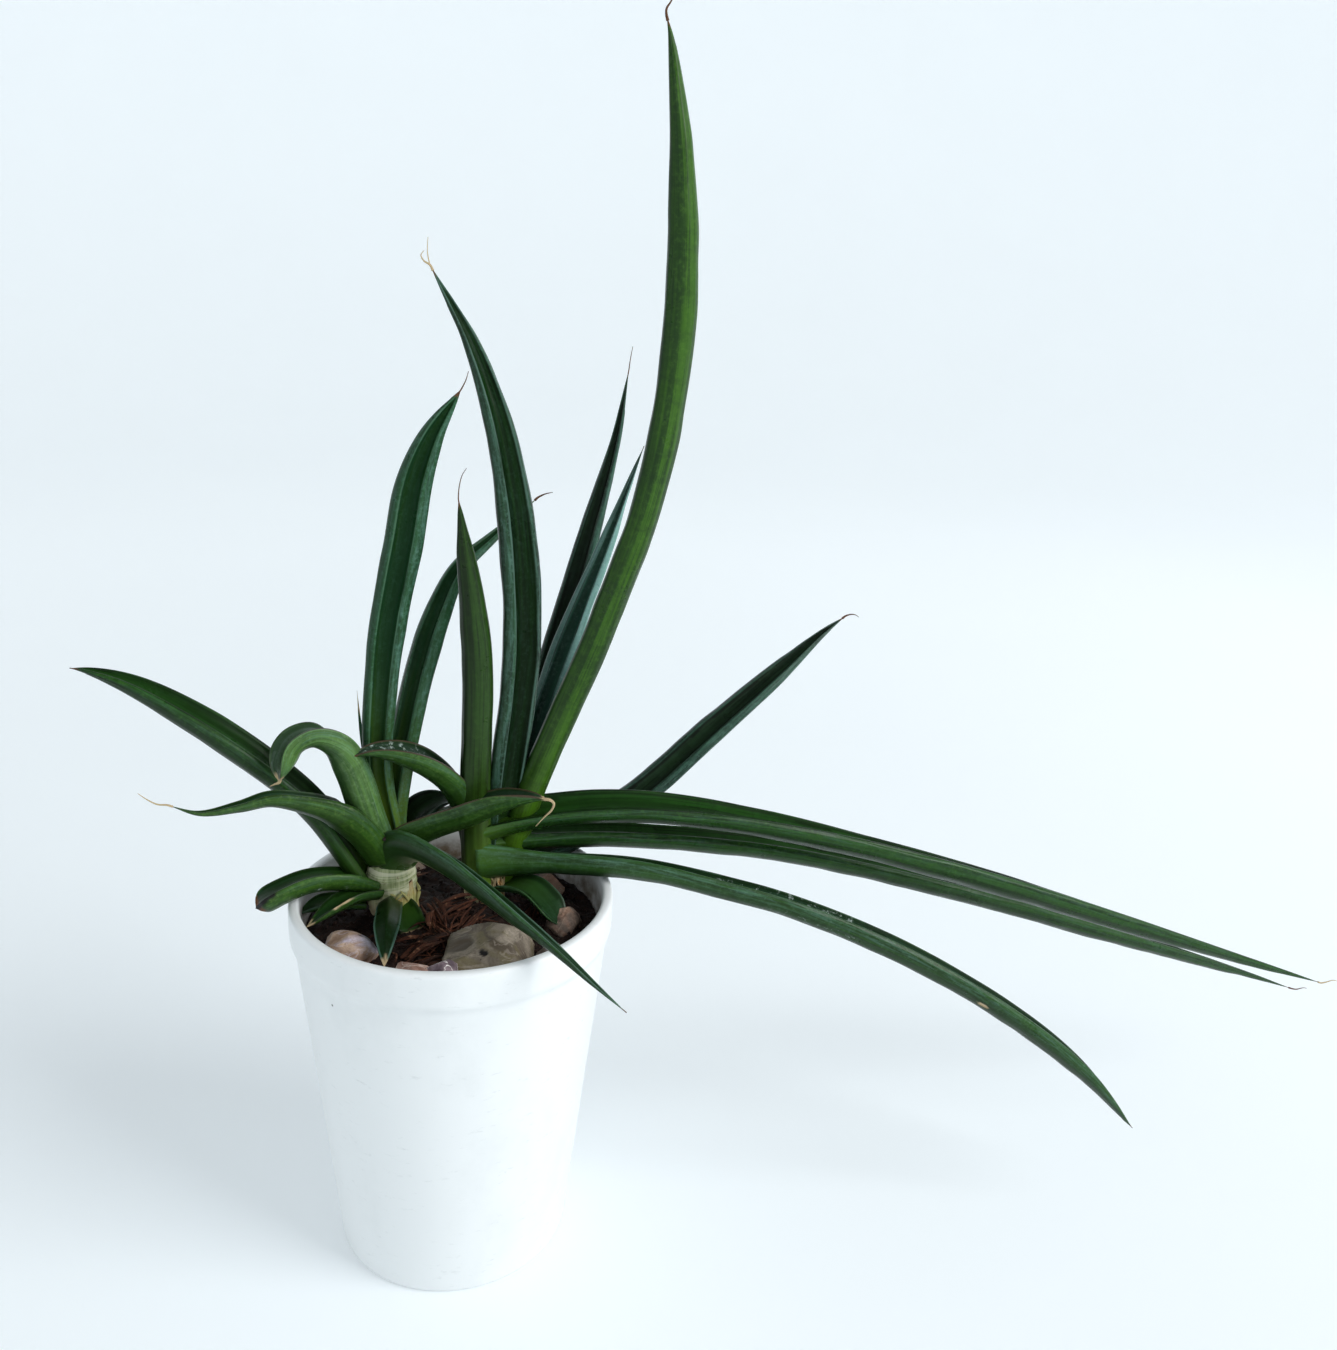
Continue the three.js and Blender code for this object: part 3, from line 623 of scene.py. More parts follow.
# The leaves of the CAD source, with rolls that turn along the leaf. To match the reference picture, some
# spines start higher, some widths, thicknesses and tapers differ, and the drooping leaf and the stub lie
# a few millimetres lower.
LEAVES = {
    "leaf_right_tall": Leaf(
        "right", (0.59, 0), -5, 14, 9.5, (0.95, 0.6, 3.2), (0.5, 0.3), [(0, -40)],
        [(2, 8), (13, 48), (37, 111), (55, 168), (62, 225), (60, 278), (54, 315), (52, 322)],
        "bright", foot_glow=45, end=(4, "brown"), line=0.5,
        threads=[([(0, 0, 1.5), (1.5, 0, 4), (2.5, 0, 7)], 1.1, "brown")]),
    "leaf_right_short": Leaf(
        "right", (-0.47, -1.18), 180, 11.5, 6.5, (0.95, 0.5, 2.6), (0.75, 0.2), [(0, 90)],
        [(-1, 12), (0, 54), (-1, 98), (1, 125), (4, 148), (6, 164)],
        "grooved", foot_glow=30, line=0.5,
        threads=[([(0.3, 0, 4), (1.3, 0, 8), (2.8, 0, 10.5)], 0.5, "brown")]),
    "leaf_right_striped": Leaf(
        "right", (0.71, -0.35), 165, 16, 9, (0.7, 0.4, 2.3), (0.6, 0.3), [(0, -40), (0.5, -50), (1, -45)],
        [(3, 10), (-1, 50), (-7, 107), (-5, 149), (2, 188), (12, 216), (26, 241)],
        "striped", foot_glow=25, end=(4, "brown"), line=0.9,
        threads=[([(-0.8, 0, 4), (-0.6, 0, 9)], 0.5, "cream"),
                 ([(-2, 0, 1.2), (-3, 0.4, 3), (-2, 0.5, 4.5)], 1.0, "cream")]),
    "leaf_right_pale": Leaf(
        "right", (0.71, 0.35), 25, 11, 5, (0.8, 0.5, 1.4), (0.5, 0.3), [(0, 40)],
        [(2, 12), (11, 54), (29, 105), (46, 144), (57, 171), (61, 180)],
        "pale", end=(2, "brown")),
    "leaf_right_dark": Leaf(
        "right", (0.71, 0.59), 45, 13.5, 7, (0.8, 0.45, 1.5), (0.6, 0.25), [(0, 0), (1, 10)],
        [(2, 10), (12, 45), (34, 99), (52, 142), (67, 179), (74, 207)],
        "dusky", end=(4, "brown"), line=0.6,
        threads=[([(0.4, 0, 4), (1.2, 0, 9)], 0.5, "brown")]),
    "leaf_right_bent": Leaf(
        "right", (-0.47, -0.47), 195, 15, 9, (0.8, 0.6, 1.8), (0.92, 0.08), [(0, 15), (0.6, 2), (1, -8)],
        [(1, 16), (2, 34), (8, 52), (17, 62), (27, 68), (38, 71), (47, 70)],
        "grey_face", line=1.0, bead=0.3,
        marks=[("spots", "face", 0.72, 0.0, 24, 5), ("spots", "back", 0.7, 0.5, 16, 1.6)]),
    "leaf_right_long_upper": Leaf(
        "right", (0.24, -0.24), -1, 15, 9, (1.4, 0.5, 2.1), (0.8, 0.15),
        [(0, 22), (0.12, 18), (0.4, -12), (1, -25)],
        [(-6, 35), (12, 38), (35, 40.5), (62, 40), (105, 33), (153, 21), (213, 3), (269, -16), (330, -37),
         (389, -56)],
        "deep", swell_to=0.08, foot_glow=14, end=(5, "brown"), line=0.9,
        threads=[([(3, 0, 0.4), (6, 0, 1.1), (9, 0, 0.4)], 0.8, "cream")]),
    "leaf_right_long_lower": Leaf(
        "right", (0.24, 0.24), 4, 14, 8, (1.35, 0.6, 2), (0.75, 0.2), [(0, 0), (1, -14)],
        [(-6, 25), (16, 26), (45, 25), (96, 18), (133, 10), (212, -14), (302, -46), (391, -78), (412, -86)],
        "deep", swell_to=0.08, foot_glow=14, end=(5, "brown"), line=0.5,
        threads=[([(3, 0, -0.6), (7, 0, 0), (9, 0, -0.4)], 0.9, "brown")]),
    "leaf_right_sweeping": Leaf(
        "right", (0.24, -0.71), -9, 13, 8, (1.8, 0.75, 2.3), (0.85, 0.12), [(0, -30), (0.3, -14), (1, -6)],
        [(-4, 20), (8, 21), (30, 21), (59, 19.5), (95, 12), (124, 4), (166, -13), (211, -38), (249, -66),
         (277, -95)],
        "blue", swell_to=0.1, foot_glow=16, line=0.5,
        marks=[("spots", "face", 0.42, 0.1, 34, 5), ("spots", "back", 0.45, -0.5, 30, 2),
               ("cream", "back", 0.69, -0.75, 2.6, 0.7)]),
    "leaf_right_back": Leaf(
        "right", (0.24, 0.47), 22, 14.5, 7, (0.8, 0.5, 2.1), (0.6, 0.25), [(0, 20)],
        [(2, 10), (14, 12), (32, 17), (68, 31), (109, 58), (141, 79), (163, 94), (176, 101)],
        "dusky", end=(4, "brown"), line=0.6,
        threads=[([(2.5, 0, 0.8), (5, 0, 0.5), (6.5, 0, -0.5)], 1.1, "brown")]),
    "leaf_right_broken": Leaf(
        "right", (0.47, -0.59), -42, 14, 4, (0.7, 0.7, 2.4), (0.94, 0.05), [(0, 0)],
        [(1, 9), (9, 13), (18, 14), (26, 10), (33, 3)],
        "blue", end=(0.8, "cream"), line=0.9),
    "leaf_left_upright": Leaf(
        "left", (0, 0.21), 0, 13.5, 6.5, (0.45, 0.7, 2.6), (0.52, 0.35), [(0, 90), (1, 80)],
        [(3, 14), (0, 35), (-4, 60), (-2, 95), (1, 118), (7, 148), (11, 169), (17, 185), (27, 201)],
        "twotone", swell_to=0.65, foot_glow=40, line=0.7,
        threads=[([(1.5, 0, 3), (2.4, 0, 6)], 0.6, "brown")]),
    "leaf_left_leaning": Leaf(
        "left", (0.11, 0.53), 40, 13, 6, (0.5, 0.55, 1.2), (0.5, 0.35), [(0, 15)],
        [(0, 12), (1, 45), (5, 65), (14, 96), (22, 115), (33, 132), (49, 142), (74, 156)],
        "twotone", foot_glow=40, end=(4, "brown"), line=0.7,
        threads=[([(3, 0, 1.5), (6, 0, 2.2)], 1.1, "brown")]),
    "leaf_left_spike": Leaf(
        "left", (-0.32, 0.42), 130, 5, 3, (1, 0.3, 1), (0.5, 0.3), [(0, 0)],
        [(0, 14), (6, 49), (12, 70), (14, 87)],
        "twotone", foot_glow=25, end=(9, "cream"), line=0.4),
    "leaf_left_far": Leaf(
        "left", (-0.21, 0), 175, 15, 9, (0.9, 0.55, 2.2), (0.7, 0.2), [(0, -5), (1, -10)],
        [(6, 10), (16, 28), (28, 46), (40, 58), (63, 76), (89, 92), (103, 97), (109, 98)],
        "deep", line=0.9),
    "leaf_left_folded": Leaf(
        "left", (-0.42, -0.42), 195, 13, 8, (1, 0.85, 2), (0.92, 0.08),
        [(0, 62), (0.5, 52), (0.72, 8), (1, -28)],
        [(0, 27), (5, 44), (10, 62), (15, 73), (22, 78), (29, 76), (33, 69), (35, 62)],
        "sage", end=(3.5, "cream"),
        threads=[([(-1.4, 0, -0.6), (-3.2, 0, -1.4)], 1.7, "cream")]),
    "leaf_left_curled": Leaf(
        "left", (-0.42, -0.21), 200, 19, 10, (0.9, 0.3, 0.75), (0.85, 0.12), [(0, 16), (1, 6)],
        [(1, 25), (7, 36), (17, 47), (29, 53), (39, 56), (50, 55), (63, 55), (73, 60)],
        "fresh", foot_glow=30, end=(2, "cream"), line=0.7,
        threads=[([(-3, 0, 0.3), (-6, 0, 2), (-9, 0, 4.5)], 0.8, "cream")]),
    "leaf_left_dry_edged": Leaf(
        "left", (0.63, -0.21), -20, 16, 9.5, (1.35, 0.55, 1.6), (0.92, 0.08), [(0, -16), (1, -4)],
        [(-2, 26), (3, 34), (12, 40), (24, 46), (38, 53), (50, 56), (56, 56)],
        "grey_face", end=(3, "cream"), line=1.1, line_width=0.8,
        threads=[([(1.5, 0, -1.5), (0.8, 0, -4), (-2, 0, -7), (-5, 0, -10.5)], 1.3, "cream")]),
    "leaf_left_lobe": Leaf(
        "left", (0.63, 0.53), 18, 14, 7, (1, 0.6, 2), (0.92, 0.08), [(0, 20)],
        [(-2, 18), (0, 32), (6, 40), (13, 43), (19, 42)],
        "dusky", end=(1.5, "brown"), line=1.0),
    "leaf_left_over_rim": Leaf(
        "left", (0.21, -0.53), -50, 14, 7.5, (1.4, 0.1, 1.5), (0.8, 0.15),
        [(0, -42), (0.45, -38), (1, -18)],
        [(-3, 24), (4, 31), (13, 34), (32, 34), (49, 31), (68, 27), (85, 23), (103, 18), (119, 14)],
        "blue", line=1.0),
    "leaf_left_blunt": Leaf(
        "left", (-0.42, -0.42), 200, 14, 7.5, (0.8, 0.8, 4.5), (0.9, 0.1), [(0, 12), (1, 10)],
        [(3, 14), (13, 19), (26, 21), (36, 19), (46, 15)],
        "fresh", end=(2.5, "brown"), line=0.7,
        marks=[("black", "edge", 0.93, 1, 5, 1.8), ("cream", "back", 0.96, 0.3, 1.4, 1.4),
               ("spots", "back", 0.5, 0.2, 16, 4)]),
    "leaf_left_low": Leaf(
        "left", (-0.32, -0.63), 218, 10, 4.5, (1, 0.5, 1.4), (0.92, 0.08), [(0, 8)],
        [(3, 13), (12, 15), (20, 14), (27, 12), (33, 10)],
        "fresh", end=(3, "cream"), line=0.9,
        marks=[("cream", "edge", 0.55, 1, 3.5, 0.9)]),
    "leaf_left_under": Leaf(
        "left", (-0.42, -0.21), 190, 8, 4, (0.8, 0.6, 1.6), (0.92, 0.08), [(0, -10)],
        [(6, 6), (15, 8), (23, 8), (31, 5)],
        "blue", end=(1.5, "brown"), line=0.7),
    "leaf_left_drooping": Leaf(
        "left", (0, -1.05), 270, 9.5, 6, (0.9, 0.55, 1.7), (0.94, 0.05), [(0, 0)],
        [(-2, 6), (8, 9), (20, 11), (32, 12), (44, 9)],
        "striped", channel=-0.5, hollow=1.2, end=(4, "cream"), line=1.0),
    "leaf_left_stub": Leaf(
        "left", (0.3, -0.95), -62, 12, 6, (0.9, 0.8, 4), (0.92, 0.08), [(0, 0)],
        [(-1, 7), (5, 5.5), (12, 1.5)],
        "fresh", end=(1.0, "cream"), line=1.0, line_width=0.7),
}


def width_share(leaf, along):
    """Width along a leaf as a share of its full width, as in the CAD source."""
    foothold, full_to, tip_power = leaf.taper
    settled = np.clip(along / leaf.swell_to, 0, 1)
    swell = foothold + (1 - foothold) * np.sin(math.pi / 2 * settled)
    past = np.clip((along - full_to) / (1 - full_to), 0, 1)
    return swell * (1 - past ** tip_power)


def turned_about(vectors, axes, angle):
    """vectors turned about unit axes by an angle in radians, one by one."""
    dot = np.sum(vectors * axes, axis=1, keepdims=True)
    return (vectors * np.cos(angle) + np.cross(axes, vectors) * np.sin(angle)
            + axes * dot * (1 - np.cos(angle)))


def picked(rows, pick):
    """Rows at fractional places."""
    return np.stack([np.interp(pick, np.arange(len(rows)), rows[:, k]) for k in range(3)], axis=1)


def leaf_frame(leaf):
    """A leaf's centre line and the directions along it, across it and out of its channel."""
    heading = math.radians(leaf.heading)
    crown_x, crown_y, radius = CROWNS[leaf.crown]
    foot_x, foot_y = crown_x + leaf.foot[0] * radius, crown_y + leaf.foot[1] * radius
    points = [(foot_x + out * math.cos(heading), foot_y + out * math.sin(heading), SOIL_LEVEL + up)
              for out, up in leaf.spine]
    line, ahead, length = curve_through(points)
    rows = int(length / ROW_STEP) + SPARE_ROWS
    along = 1 - (1 - np.linspace(0, 1, rows)) ** 1.25
    pick = along * (len(line) - 1)
    line, ahead = picked(line, pick), unit(picked(ahead, pick))
    side = np.broadcast_to([-math.sin(heading), math.cos(heading), 0.0], line.shape)
    roll = np.radians(np.interp(along, *zip(*leaf.rolls)))[:, None]
    across = turned_about(side, ahead, roll)
    face = turned_about(np.cross(ahead, side), ahead, roll)
    return line, ahead, across, face, along, length


def leaf_section(leaf, to_tip):
    """Round a leaf: place across in half widths, level out of the channel in thicknesses for each row,
    and which columns are in the channel. It goes round the back, then over the face."""
    ridge, fall = leaf.section
    angle = np.linspace(0, math.pi, BACK_COLUMNS + 1)
    place = np.concatenate([
        -np.cos(angle),
        np.linspace(1, ridge, SHOULDER_COLUMNS + 1)[1:],
        np.linspace(ridge, -ridge, FACE_COLUMNS + 1)[1:],
        np.linspace(-ridge, -1, SHOULDER_COLUMNS + 1)[1:-1],
    ])
    column = np.arange(len(place))
    beyond = np.clip((np.abs(place) - ridge) / (1 - ridge), 0, 1)
    depth = leaf.channel * np.minimum(1, to_tip / 10)[:, None]
    hollow = 1 - np.minimum(np.abs(place) / ridge, 1) ** leaf.hollow
    level = 0.5 - depth * hollow - fall * beyond ** 2
    level[:, :BACK_COLUMNS + 1] = 0.5 - fall - (1 - fall) * np.sin(angle) ** 0.92
    return place, level, (column >= RIGHT_RIDGE) & (column <= LEFT_RIDGE)


def from_ridges(x, y):
    """Distances round the section from its left and its right ridge."""
    step = np.hypot(np.diff(x, axis=1, append=x[:, :1]), np.diff(y, axis=1, append=y[:, :1]))
    round_run = np.cumsum(step, axis=1) - step
    total = round_run[:, -1:] + step[:, -1:]
    to_right = np.abs(round_run - round_run[:, RIGHT_RIDGE:RIGHT_RIDGE + 1])
    to_left = np.abs(round_run - round_run[:, LEFT_RIDGE:LEFT_RIDGE + 1])
    return np.minimum(to_left, total - to_left), to_right


def build_leaf(name, leaf, number):
    """A leaf with its ribs, rounded edges, marks and dry tip, and the dry threads beyond the tip."""
    line, ahead, across, face, along, length = leaf_frame(leaf)
    run = along * length
    share = np.maximum(width_share(leaf, along), LEAST_WIDTH)
    share = share * (1 + 0.025 * noise(stacked(run / 16, number, 0.5), 3))
    width = (leaf.width * share)[:, None]
    place, level, in_channel = leaf_section(leaf, (1 - along) * length)
    x = place[None, :] * width / 2
    y = level * leaf.thickness * share[:, None]
    to_left, to_right = from_ridges(x, y)
    from_edge = np.minimum(to_left, to_right)

    girth = leaf.width + 1.6 * leaf.thickness
    flat_u = np.broadcast_to(np.linspace(0, girth, len(place), endpoint=False), x.shape)
    far = run[:, None] + 1000.0 * number
    near_foot = np.exp(-run / 45)[:, None]
    calm = smoothstep(0, 1.2, from_edge)
    ribs = 0.16 * noise(stacked(flat_u / 1.7, far / 70, 0.0), 11) * (0.6 + near_foot)
    lines = 0.07 * noise(stacked(flat_u / 0.8, far / 30, 4.0), 12)
    dents = 0.24 * noise(stacked(flat_u / 9, far / 15, 2.0), 13, 2) * (share[:, None] > 0.2)
    bump = (ribs + lines + dents) * calm
    bump = bump + leaf.bead * np.exp(-(from_edge / 0.45) ** 2) * np.minimum(1, width / 5)

    margin = np.exp(-(from_edge / leaf.line_width) ** 2) * leaf.line
    masks = {
        "channel": in_channel * smoothstep(0.1, 0.7, from_edge),
        "margin": margin * (0.75 + 0.35 * noise(stacked(far / 12, to_left < 1, 0.0), 14)),
        "foot": np.exp(-run / leaf.foot_glow)[:, None] * np.ones_like(x),
        # pale bloom near the edges of the back, partly painted sheen
        "bloom": 0.25 + np.exp(-((from_edge - 2.2) / 2.0) ** 2),
    }
    masks.update({kind: np.zeros_like(x) for kind in ("spots", "cream", "brown", "black")})
    ragged = noise(stacked(flat_u / 2.2, far / 2.5, 7.0), 15, 2)
    end_length, end_kind = leaf.end
    to_tip = (length - run)[:, None] + 0.35 * end_length * ragged
    masks[end_kind] = np.maximum(masks[end_kind], smoothstep(end_length, 0.55 * end_length, to_tip))
    for kind, side, at, over, long, broad in leaf.marks:
        sway = (run[:, None] - at * length) / long
        if side == "edge":
            aside = (to_left if over < 0 else to_right) / broad
        else:
            aside = (x - over * width / 2) / broad + 50.0 * (in_channel != (side == "face"))
        patch = smoothstep(1.15, 0.75, np.hypot(sway, aside) + 0.4 * ragged)
        masks[kind] = np.maximum(masks[kind], patch)
        if kind in ("cream", "black"):
            bump = bump - 0.18 * patch
    dry = np.maximum(masks["cream"], masks["brown"])
    bump = bump + 0.16 * dry * noise(stacked(flat_u / 0.7, far / 1.6, 1.0), 16)

    slope_x = np.roll(x, -1, axis=1) - np.roll(x, 1, axis=1)
    slope_y = np.roll(y, -1, axis=1) - np.roll(y, 1, axis=1)
    bump = bump * np.minimum(1, width / 3) / np.maximum(np.hypot(slope_x, slope_y), 1e-6)
    x, y = x + bump * slope_y, y - bump * slope_x

    rings = line[:, None] + x[..., None] * across[:, None] + y[..., None] * face[:, None]
    round_step = np.roll(rings, -1, axis=1) - np.roll(rings, 1, axis=1)
    outward = unit(np.cross(round_step, np.gradient(rings, axis=0)))
    outward = outward * np.sign(np.sum(outward * (rings - line[:, None]), axis=-1, keepdims=True))
    # painted shade: how far each point of the skin turns away from the window light
    masks["shade"] = smoothstep(0.65, -0.4, outward @ LIT_SIDE)
    tip = line[-1] + ahead[-1] * 0.3
    points = np.vstack([rings.reshape(-1, 3), line[0] - ahead[0] * 0.5, tip])
    flat = np.zeros((len(points), 2))
    flat[:-2] = np.stack([flat_u, np.broadcast_to(far, x.shape)], axis=-1).reshape(-1, 2)
    flat[-2:, 1] = far[0, 0], far[-1, 0]
    masks = {key: np.append(np.ravel(value), [value.ravel()[0], value[-1].mean()])
             for key, value in masks.items()}
    mesh = Mesh()
    mesh.add(points, skin(len(run), x.shape[1]), flat, girth, **masks)
    for steps, thick, kind in leaf.threads:
        path = np.vstack([tip - ahead[-1] * 2.0, tip, tip + np.array(steps)])
        add_thread(mesh, path, thick, **{kind: 1.0})
    mesh.piece(name + "_detail", [LEAF_MATERIALS[leaf.look]], SLOTS[name], [name])


LEAF_MATERIALS = {look: leaf_material(look) for look in LOOKS}
for number, (leaf_name, leaf) in enumerate(LEAVES.items(), 1):
    build_leaf(leaf_name, leaf, number)


# ---------------------------------------------------------------- pot

def turned_skin(profile, segments):
    """Rings of points, and the faces, of a profile of (radius, height) turned about +Z."""
    angle = np.linspace(0, 2 * math.pi, segments, endpoint=False)
    rings = np.stack([
        profile[:, :1] * np.cos(angle), profile[:, :1] * np.sin(angle),
        np.repeat(profile[:, 1:], segments, axis=1),
    ], axis=-1)
    return rings, skin(len(profile), segments)


def rounded(corners, steps=7):
    """A profile whose corners, given as (radius, height, rounding), become short curves."""
    path = []
    for i, (radius, height, rounding) in enumerate(corners):
        here = np.array([radius, height], float)
        if rounding == 0 or i in (0, len(corners) - 1):
            path.append(here)
            continue
        before = unit(np.array(corners[i - 1][:2]) - here)
        after = unit(np.array(corners[i + 1][:2]) - here)
        for t in np.linspace(0, 1, steps):
            path.append(here + before * rounding * (1 - t) ** 2 + after * rounding * t ** 2)
    return np.array(path)


def filled_in(profile, step):
    """The profile with points added so that none are further apart than step."""
    path = [profile[0]]
    for start, stop in zip(profile[:-1], profile[1:]):
        count = max(1, int(np.linalg.norm(stop - start) / step))
        path += [start + (stop - start) * k / count for k in range(1, count + 1)]
    return np.array(path)


def outward_from_axis(rings, least):
    """Level directions away from the axis, fading out nearer to it than least."""
    reach = np.linalg.norm(rings[..., :2], axis=-1)
    return rings * [1, 1, 0] / np.maximum(reach, least)[..., None]


POT_SEGMENTS = 200
FOOT_RECESS = 0.9  # the middle of the pot's underside stands this far off the floor
AXIS_HOLE = 0.4  # profiles start this near to the axis and are closed by a point on it


def build_pot():
    """The moulded shell, a little uneven in its sides, with its inside and outside marked."""
    corners = [
        (AXIS_HOLE, FOOT_RECESS, 0), (BASE_RADIUS - 7, FOOT_RECESS, 0.8), (BASE_RADIUS - 6, 0, 0.6),
        (BASE_RADIUS - 0.3, 0, 2.2), (BODY_TOP_RADIUS, BAND_BOTTOM - 1.2, 1.6),
        (RIM_RADIUS - 0.1, BAND_BOTTOM + 1.8, 1.6), (RIM_RADIUS, POT_HEIGHT, 2.0),
        (MOUTH_RADIUS, POT_HEIGHT, 1.7), (MOUTH_RADIUS, BAND_BOTTOM + 6, 2.5),
        (inner_radius(BAND_BOTTOM), BAND_BOTTOM - 1, 2), (inner_radius(POT_FLOOR), POT_FLOOR, 2),
        (AXIS_HOLE, POT_FLOOR, 0),
    ]
    profile = filled_in(rounded(corners), 3)
    rings, faces = turned_skin(profile, POT_SEGMENTS)
    wobble = 0.10 * noise(rings / 26, 21, 2) + 0.05 * noise(rings / [9, 9, 4], 22, 2)
    grip = smoothstep(0, 8, rings[..., 2]) * (rings[..., 0] ** 2 + rings[..., 1] ** 2 > 30 ** 2)
    rings = rings + outward_from_axis(rings, 1) * (wobble * grip)[..., None]
    inner = np.arange(len(profile)) > np.argmax(profile[:, 1])
    inside = np.repeat(inner.astype(float), rings.shape[1])
    points = np.vstack([rings.reshape(-1, 3), [0, 0, FOOT_RECESS], [0, 0, POT_FLOOR]])
    inside = np.append(inside, [0, 1])
    mesh = Mesh()
    mesh.add(points, faces, inside=inside, outside=1 - inside)
    mesh.piece("pot_shell", [pot_material()], "pot", ["pot"])


build_pot()


# ---------------------------------------------------------------- potting mix

def ground(x, y):
    """Height of the soil: a low uneven mound, level at the wall."""
    from_axis = np.minimum(np.hypot(x, y), SOIL_RADIUS)
    mound = SOIL_MOUND * np.cos(math.pi / 2 * from_axis / SOIL_RADIUS)
    waves = (0.8 * np.sin(x / 9 + 1) * np.cos(y / 8)
             + 0.5 * np.sin(x / 4.1) * np.sin(y / 3.7 + 2))
    return SOIL_LEVEL + mound + waves * np.clip((SOIL_RADIUS - from_axis) / 6, 0, 1)


CRUMBS = 900
CRUMB_SIZES = (0.5, 0.7, 0.9, 1.2, 1.8)
LITTER = 110  # bark shreds strewn between the crowns and the front pebbles
LITTER_MIDDLE, LITTER_SPREAD = (-3, -22), (11, 12)
SHRED_BREADTHS = (0.3, 0.4, 0.6, 0.9, 1.4)
SOIL_CLEARANCE = 0.4
SOIL_COLUMNS, SOIL_ROWS = 240, 110


def build_soil():
    """One closed body: a crumbly top over plain sides, with loose crumbs and bark shreds on it."""
    edge = SOIL_RADIUS - 0.3
    angle = np.linspace(0, 2 * math.pi, SOIL_COLUMNS, endpoint=False)
    radii = np.concatenate([[inner_radius(POT_FLOOR) - 0.6], np.linspace(edge, 0.6, SOIL_ROWS)])
    x, y = radii[:, None] * np.cos(angle), radii[:, None] * np.sin(angle)
    lumps = 1.3 * noise(stacked(x / 4.5, y / 4.5, 0.0), 31, 3)
    lumps = lumps + 0.5 * noise(stacked(x / 1.1, y / 1.1, 3.0), 32, 2)
    z = ground(x, y) + lumps - 0.6
    z[0] = POT_FLOOR + SOIL_CLEARANCE
    points = np.vstack([np.stack([x, y, z], axis=-1).reshape(-1, 3), [0, 0, POT_FLOOR + SOIL_CLEARANCE],
                        [0, 0, float(ground(0, 0))]])
    mesh = Mesh()
    mesh.add(points, skin(len(radii), len(angle)))
    rng = random.Random(7)
    for _ in range(CRUMBS):
        reach, turn = edge * math.sqrt(rng.random()) * 0.98, rng.uniform(0, 2 * math.pi)
        size = rng.choice(CRUMB_SIZES)
        px, py = reach * math.cos(turn), reach * math.sin(turn)
        add_lump(mesh, (px, py, float(ground(px, py)) + 0.2 * size), size, rng)
    for strand in range(LITTER):
        px, py = map(rng.gauss, LITTER_MIDDLE, LITTER_SPREAD)
        if math.hypot(px, py) > edge - 8:
            continue
        turn, reach = rng.uniform(0, math.pi), rng.uniform(1.5, 7)
        step = reach * np.array([math.cos(turn), math.sin(turn), rng.uniform(-0.15, 0.25)])
        middle = np.array([px, py, float(ground(px, py)) + rng.uniform(0.2, 1.2)])
        broad = rng.choice(SHRED_BREADTHS)
        add_splinter(mesh, middle - step, middle + step, broad, min(broad, 0.7), rng, 400 + strand, 1)
    mesh.piece("potting_mix_crumbs", [soil_material(), BARK_MATERIAL], "soil", ["potting_mix"])


CUBE_CORNERS = np.array(list(itertools.product((-1, 1), repeat=3)), float)
CUBE_FACES = [(0, 1, 3, 2), (4, 6, 7, 5), (0, 4, 5, 1), (2, 3, 7, 6), (0, 2, 6, 4), (1, 5, 7, 3)]


def add_lump(mesh, place, size, rng):
    """A small crumb: a cube with its corners pushed about and turned any way."""
    spin = Matrix.Rotation(rng.uniform(0, 6.3), 3, Vector((rng.random(), rng.random(), 1)).normalized())
    corners = [np.array(spin @ Vector(c * [rng.uniform(0.5, 1) * size / 2 for _ in range(3)]))
               for c in CUBE_CORNERS]
    mesh.add(np.array(corners) + place, CUBE_FACES)


# ---------------------------------------------------------------- pebbles

# Name, azimuth, size (along the wall, depth, height), rise of the middle above the soil line, gap to the
# wall, look, height of the lumps, and marks as (mask, direction, reach). They are near the CAD pebbles.
STONES = [
    ("stone_olive", 290, (41, 38, 26), 3, 1.2, "olive", 1.0,
     [("black", (0.45, -0.3, 0.85), 0.1), ("hollow", (-0.3, -0.6, 0.7), 0.35)]),
    ("stone_veined", 265, (16, 15, 16), 5, 1.2, "veined", 0.8,
     [("black", (-0.1, -0.65, 0.75), 0.16), ("pale", (-0.5, -0.2, 0.8), 0.4)]),
    ("stone_pink", 253, (17, 12, 12), 6, 1.2, "pink", 0.7, []),
    ("stone_beige", 214, (27, 19, 17), 4, 1.2, "beige", 0.5,
     [("black", (-0.5, 0.1, 0.85), 0.12), ("pale", (-0.7, 0.4, 0.6), 0.5)]),
    ("stone_streaked", 317, (16, 13, 13), 2, 1.2, "streaked", 0.9, []),
    ("stone_knobbly", 352, (20, 15, 15), 1, 6, "knobbly", 1.6, []),
    ("stone_back_left", 140, (22, 16, 14), 1, 2, "olive", 0.8, []),
    ("stone_back", 115, (18, 14, 12), 0, 3, "beige", 0.7, []),
    ("stone_back_right", 38, (24, 17, 15), 0, 2, "knobbly", 0.9, []),
]
BALL_COLUMNS, BALL_ROWS = 96, 60
FLATS = 9  # worn facets on a pebble
MARK_DEPTHS = {"black": 0.05, "hollow": 0.045, "pale": -0.01}


def ball():
    """Points and faces of a unit ball with its poles on Z."""
    up = np.linspace(-math.pi / 2, math.pi / 2, BALL_ROWS + 2)[1:-1]
    turn = np.linspace(0, 2 * math.pi, BALL_COLUMNS, endpoint=False)
    rings = np.stack(np.broadcast_arrays(
        np.cos(up)[:, None] * np.cos(turn), np.cos(up)[:, None] * np.sin(turn), np.sin(up)[:, None],
    ), axis=-1).reshape(-1, 3)
    return np.vstack([rings, [0, 0, -1], [0, 0, 1]]), skin(BALL_ROWS, BALL_COLUMNS)


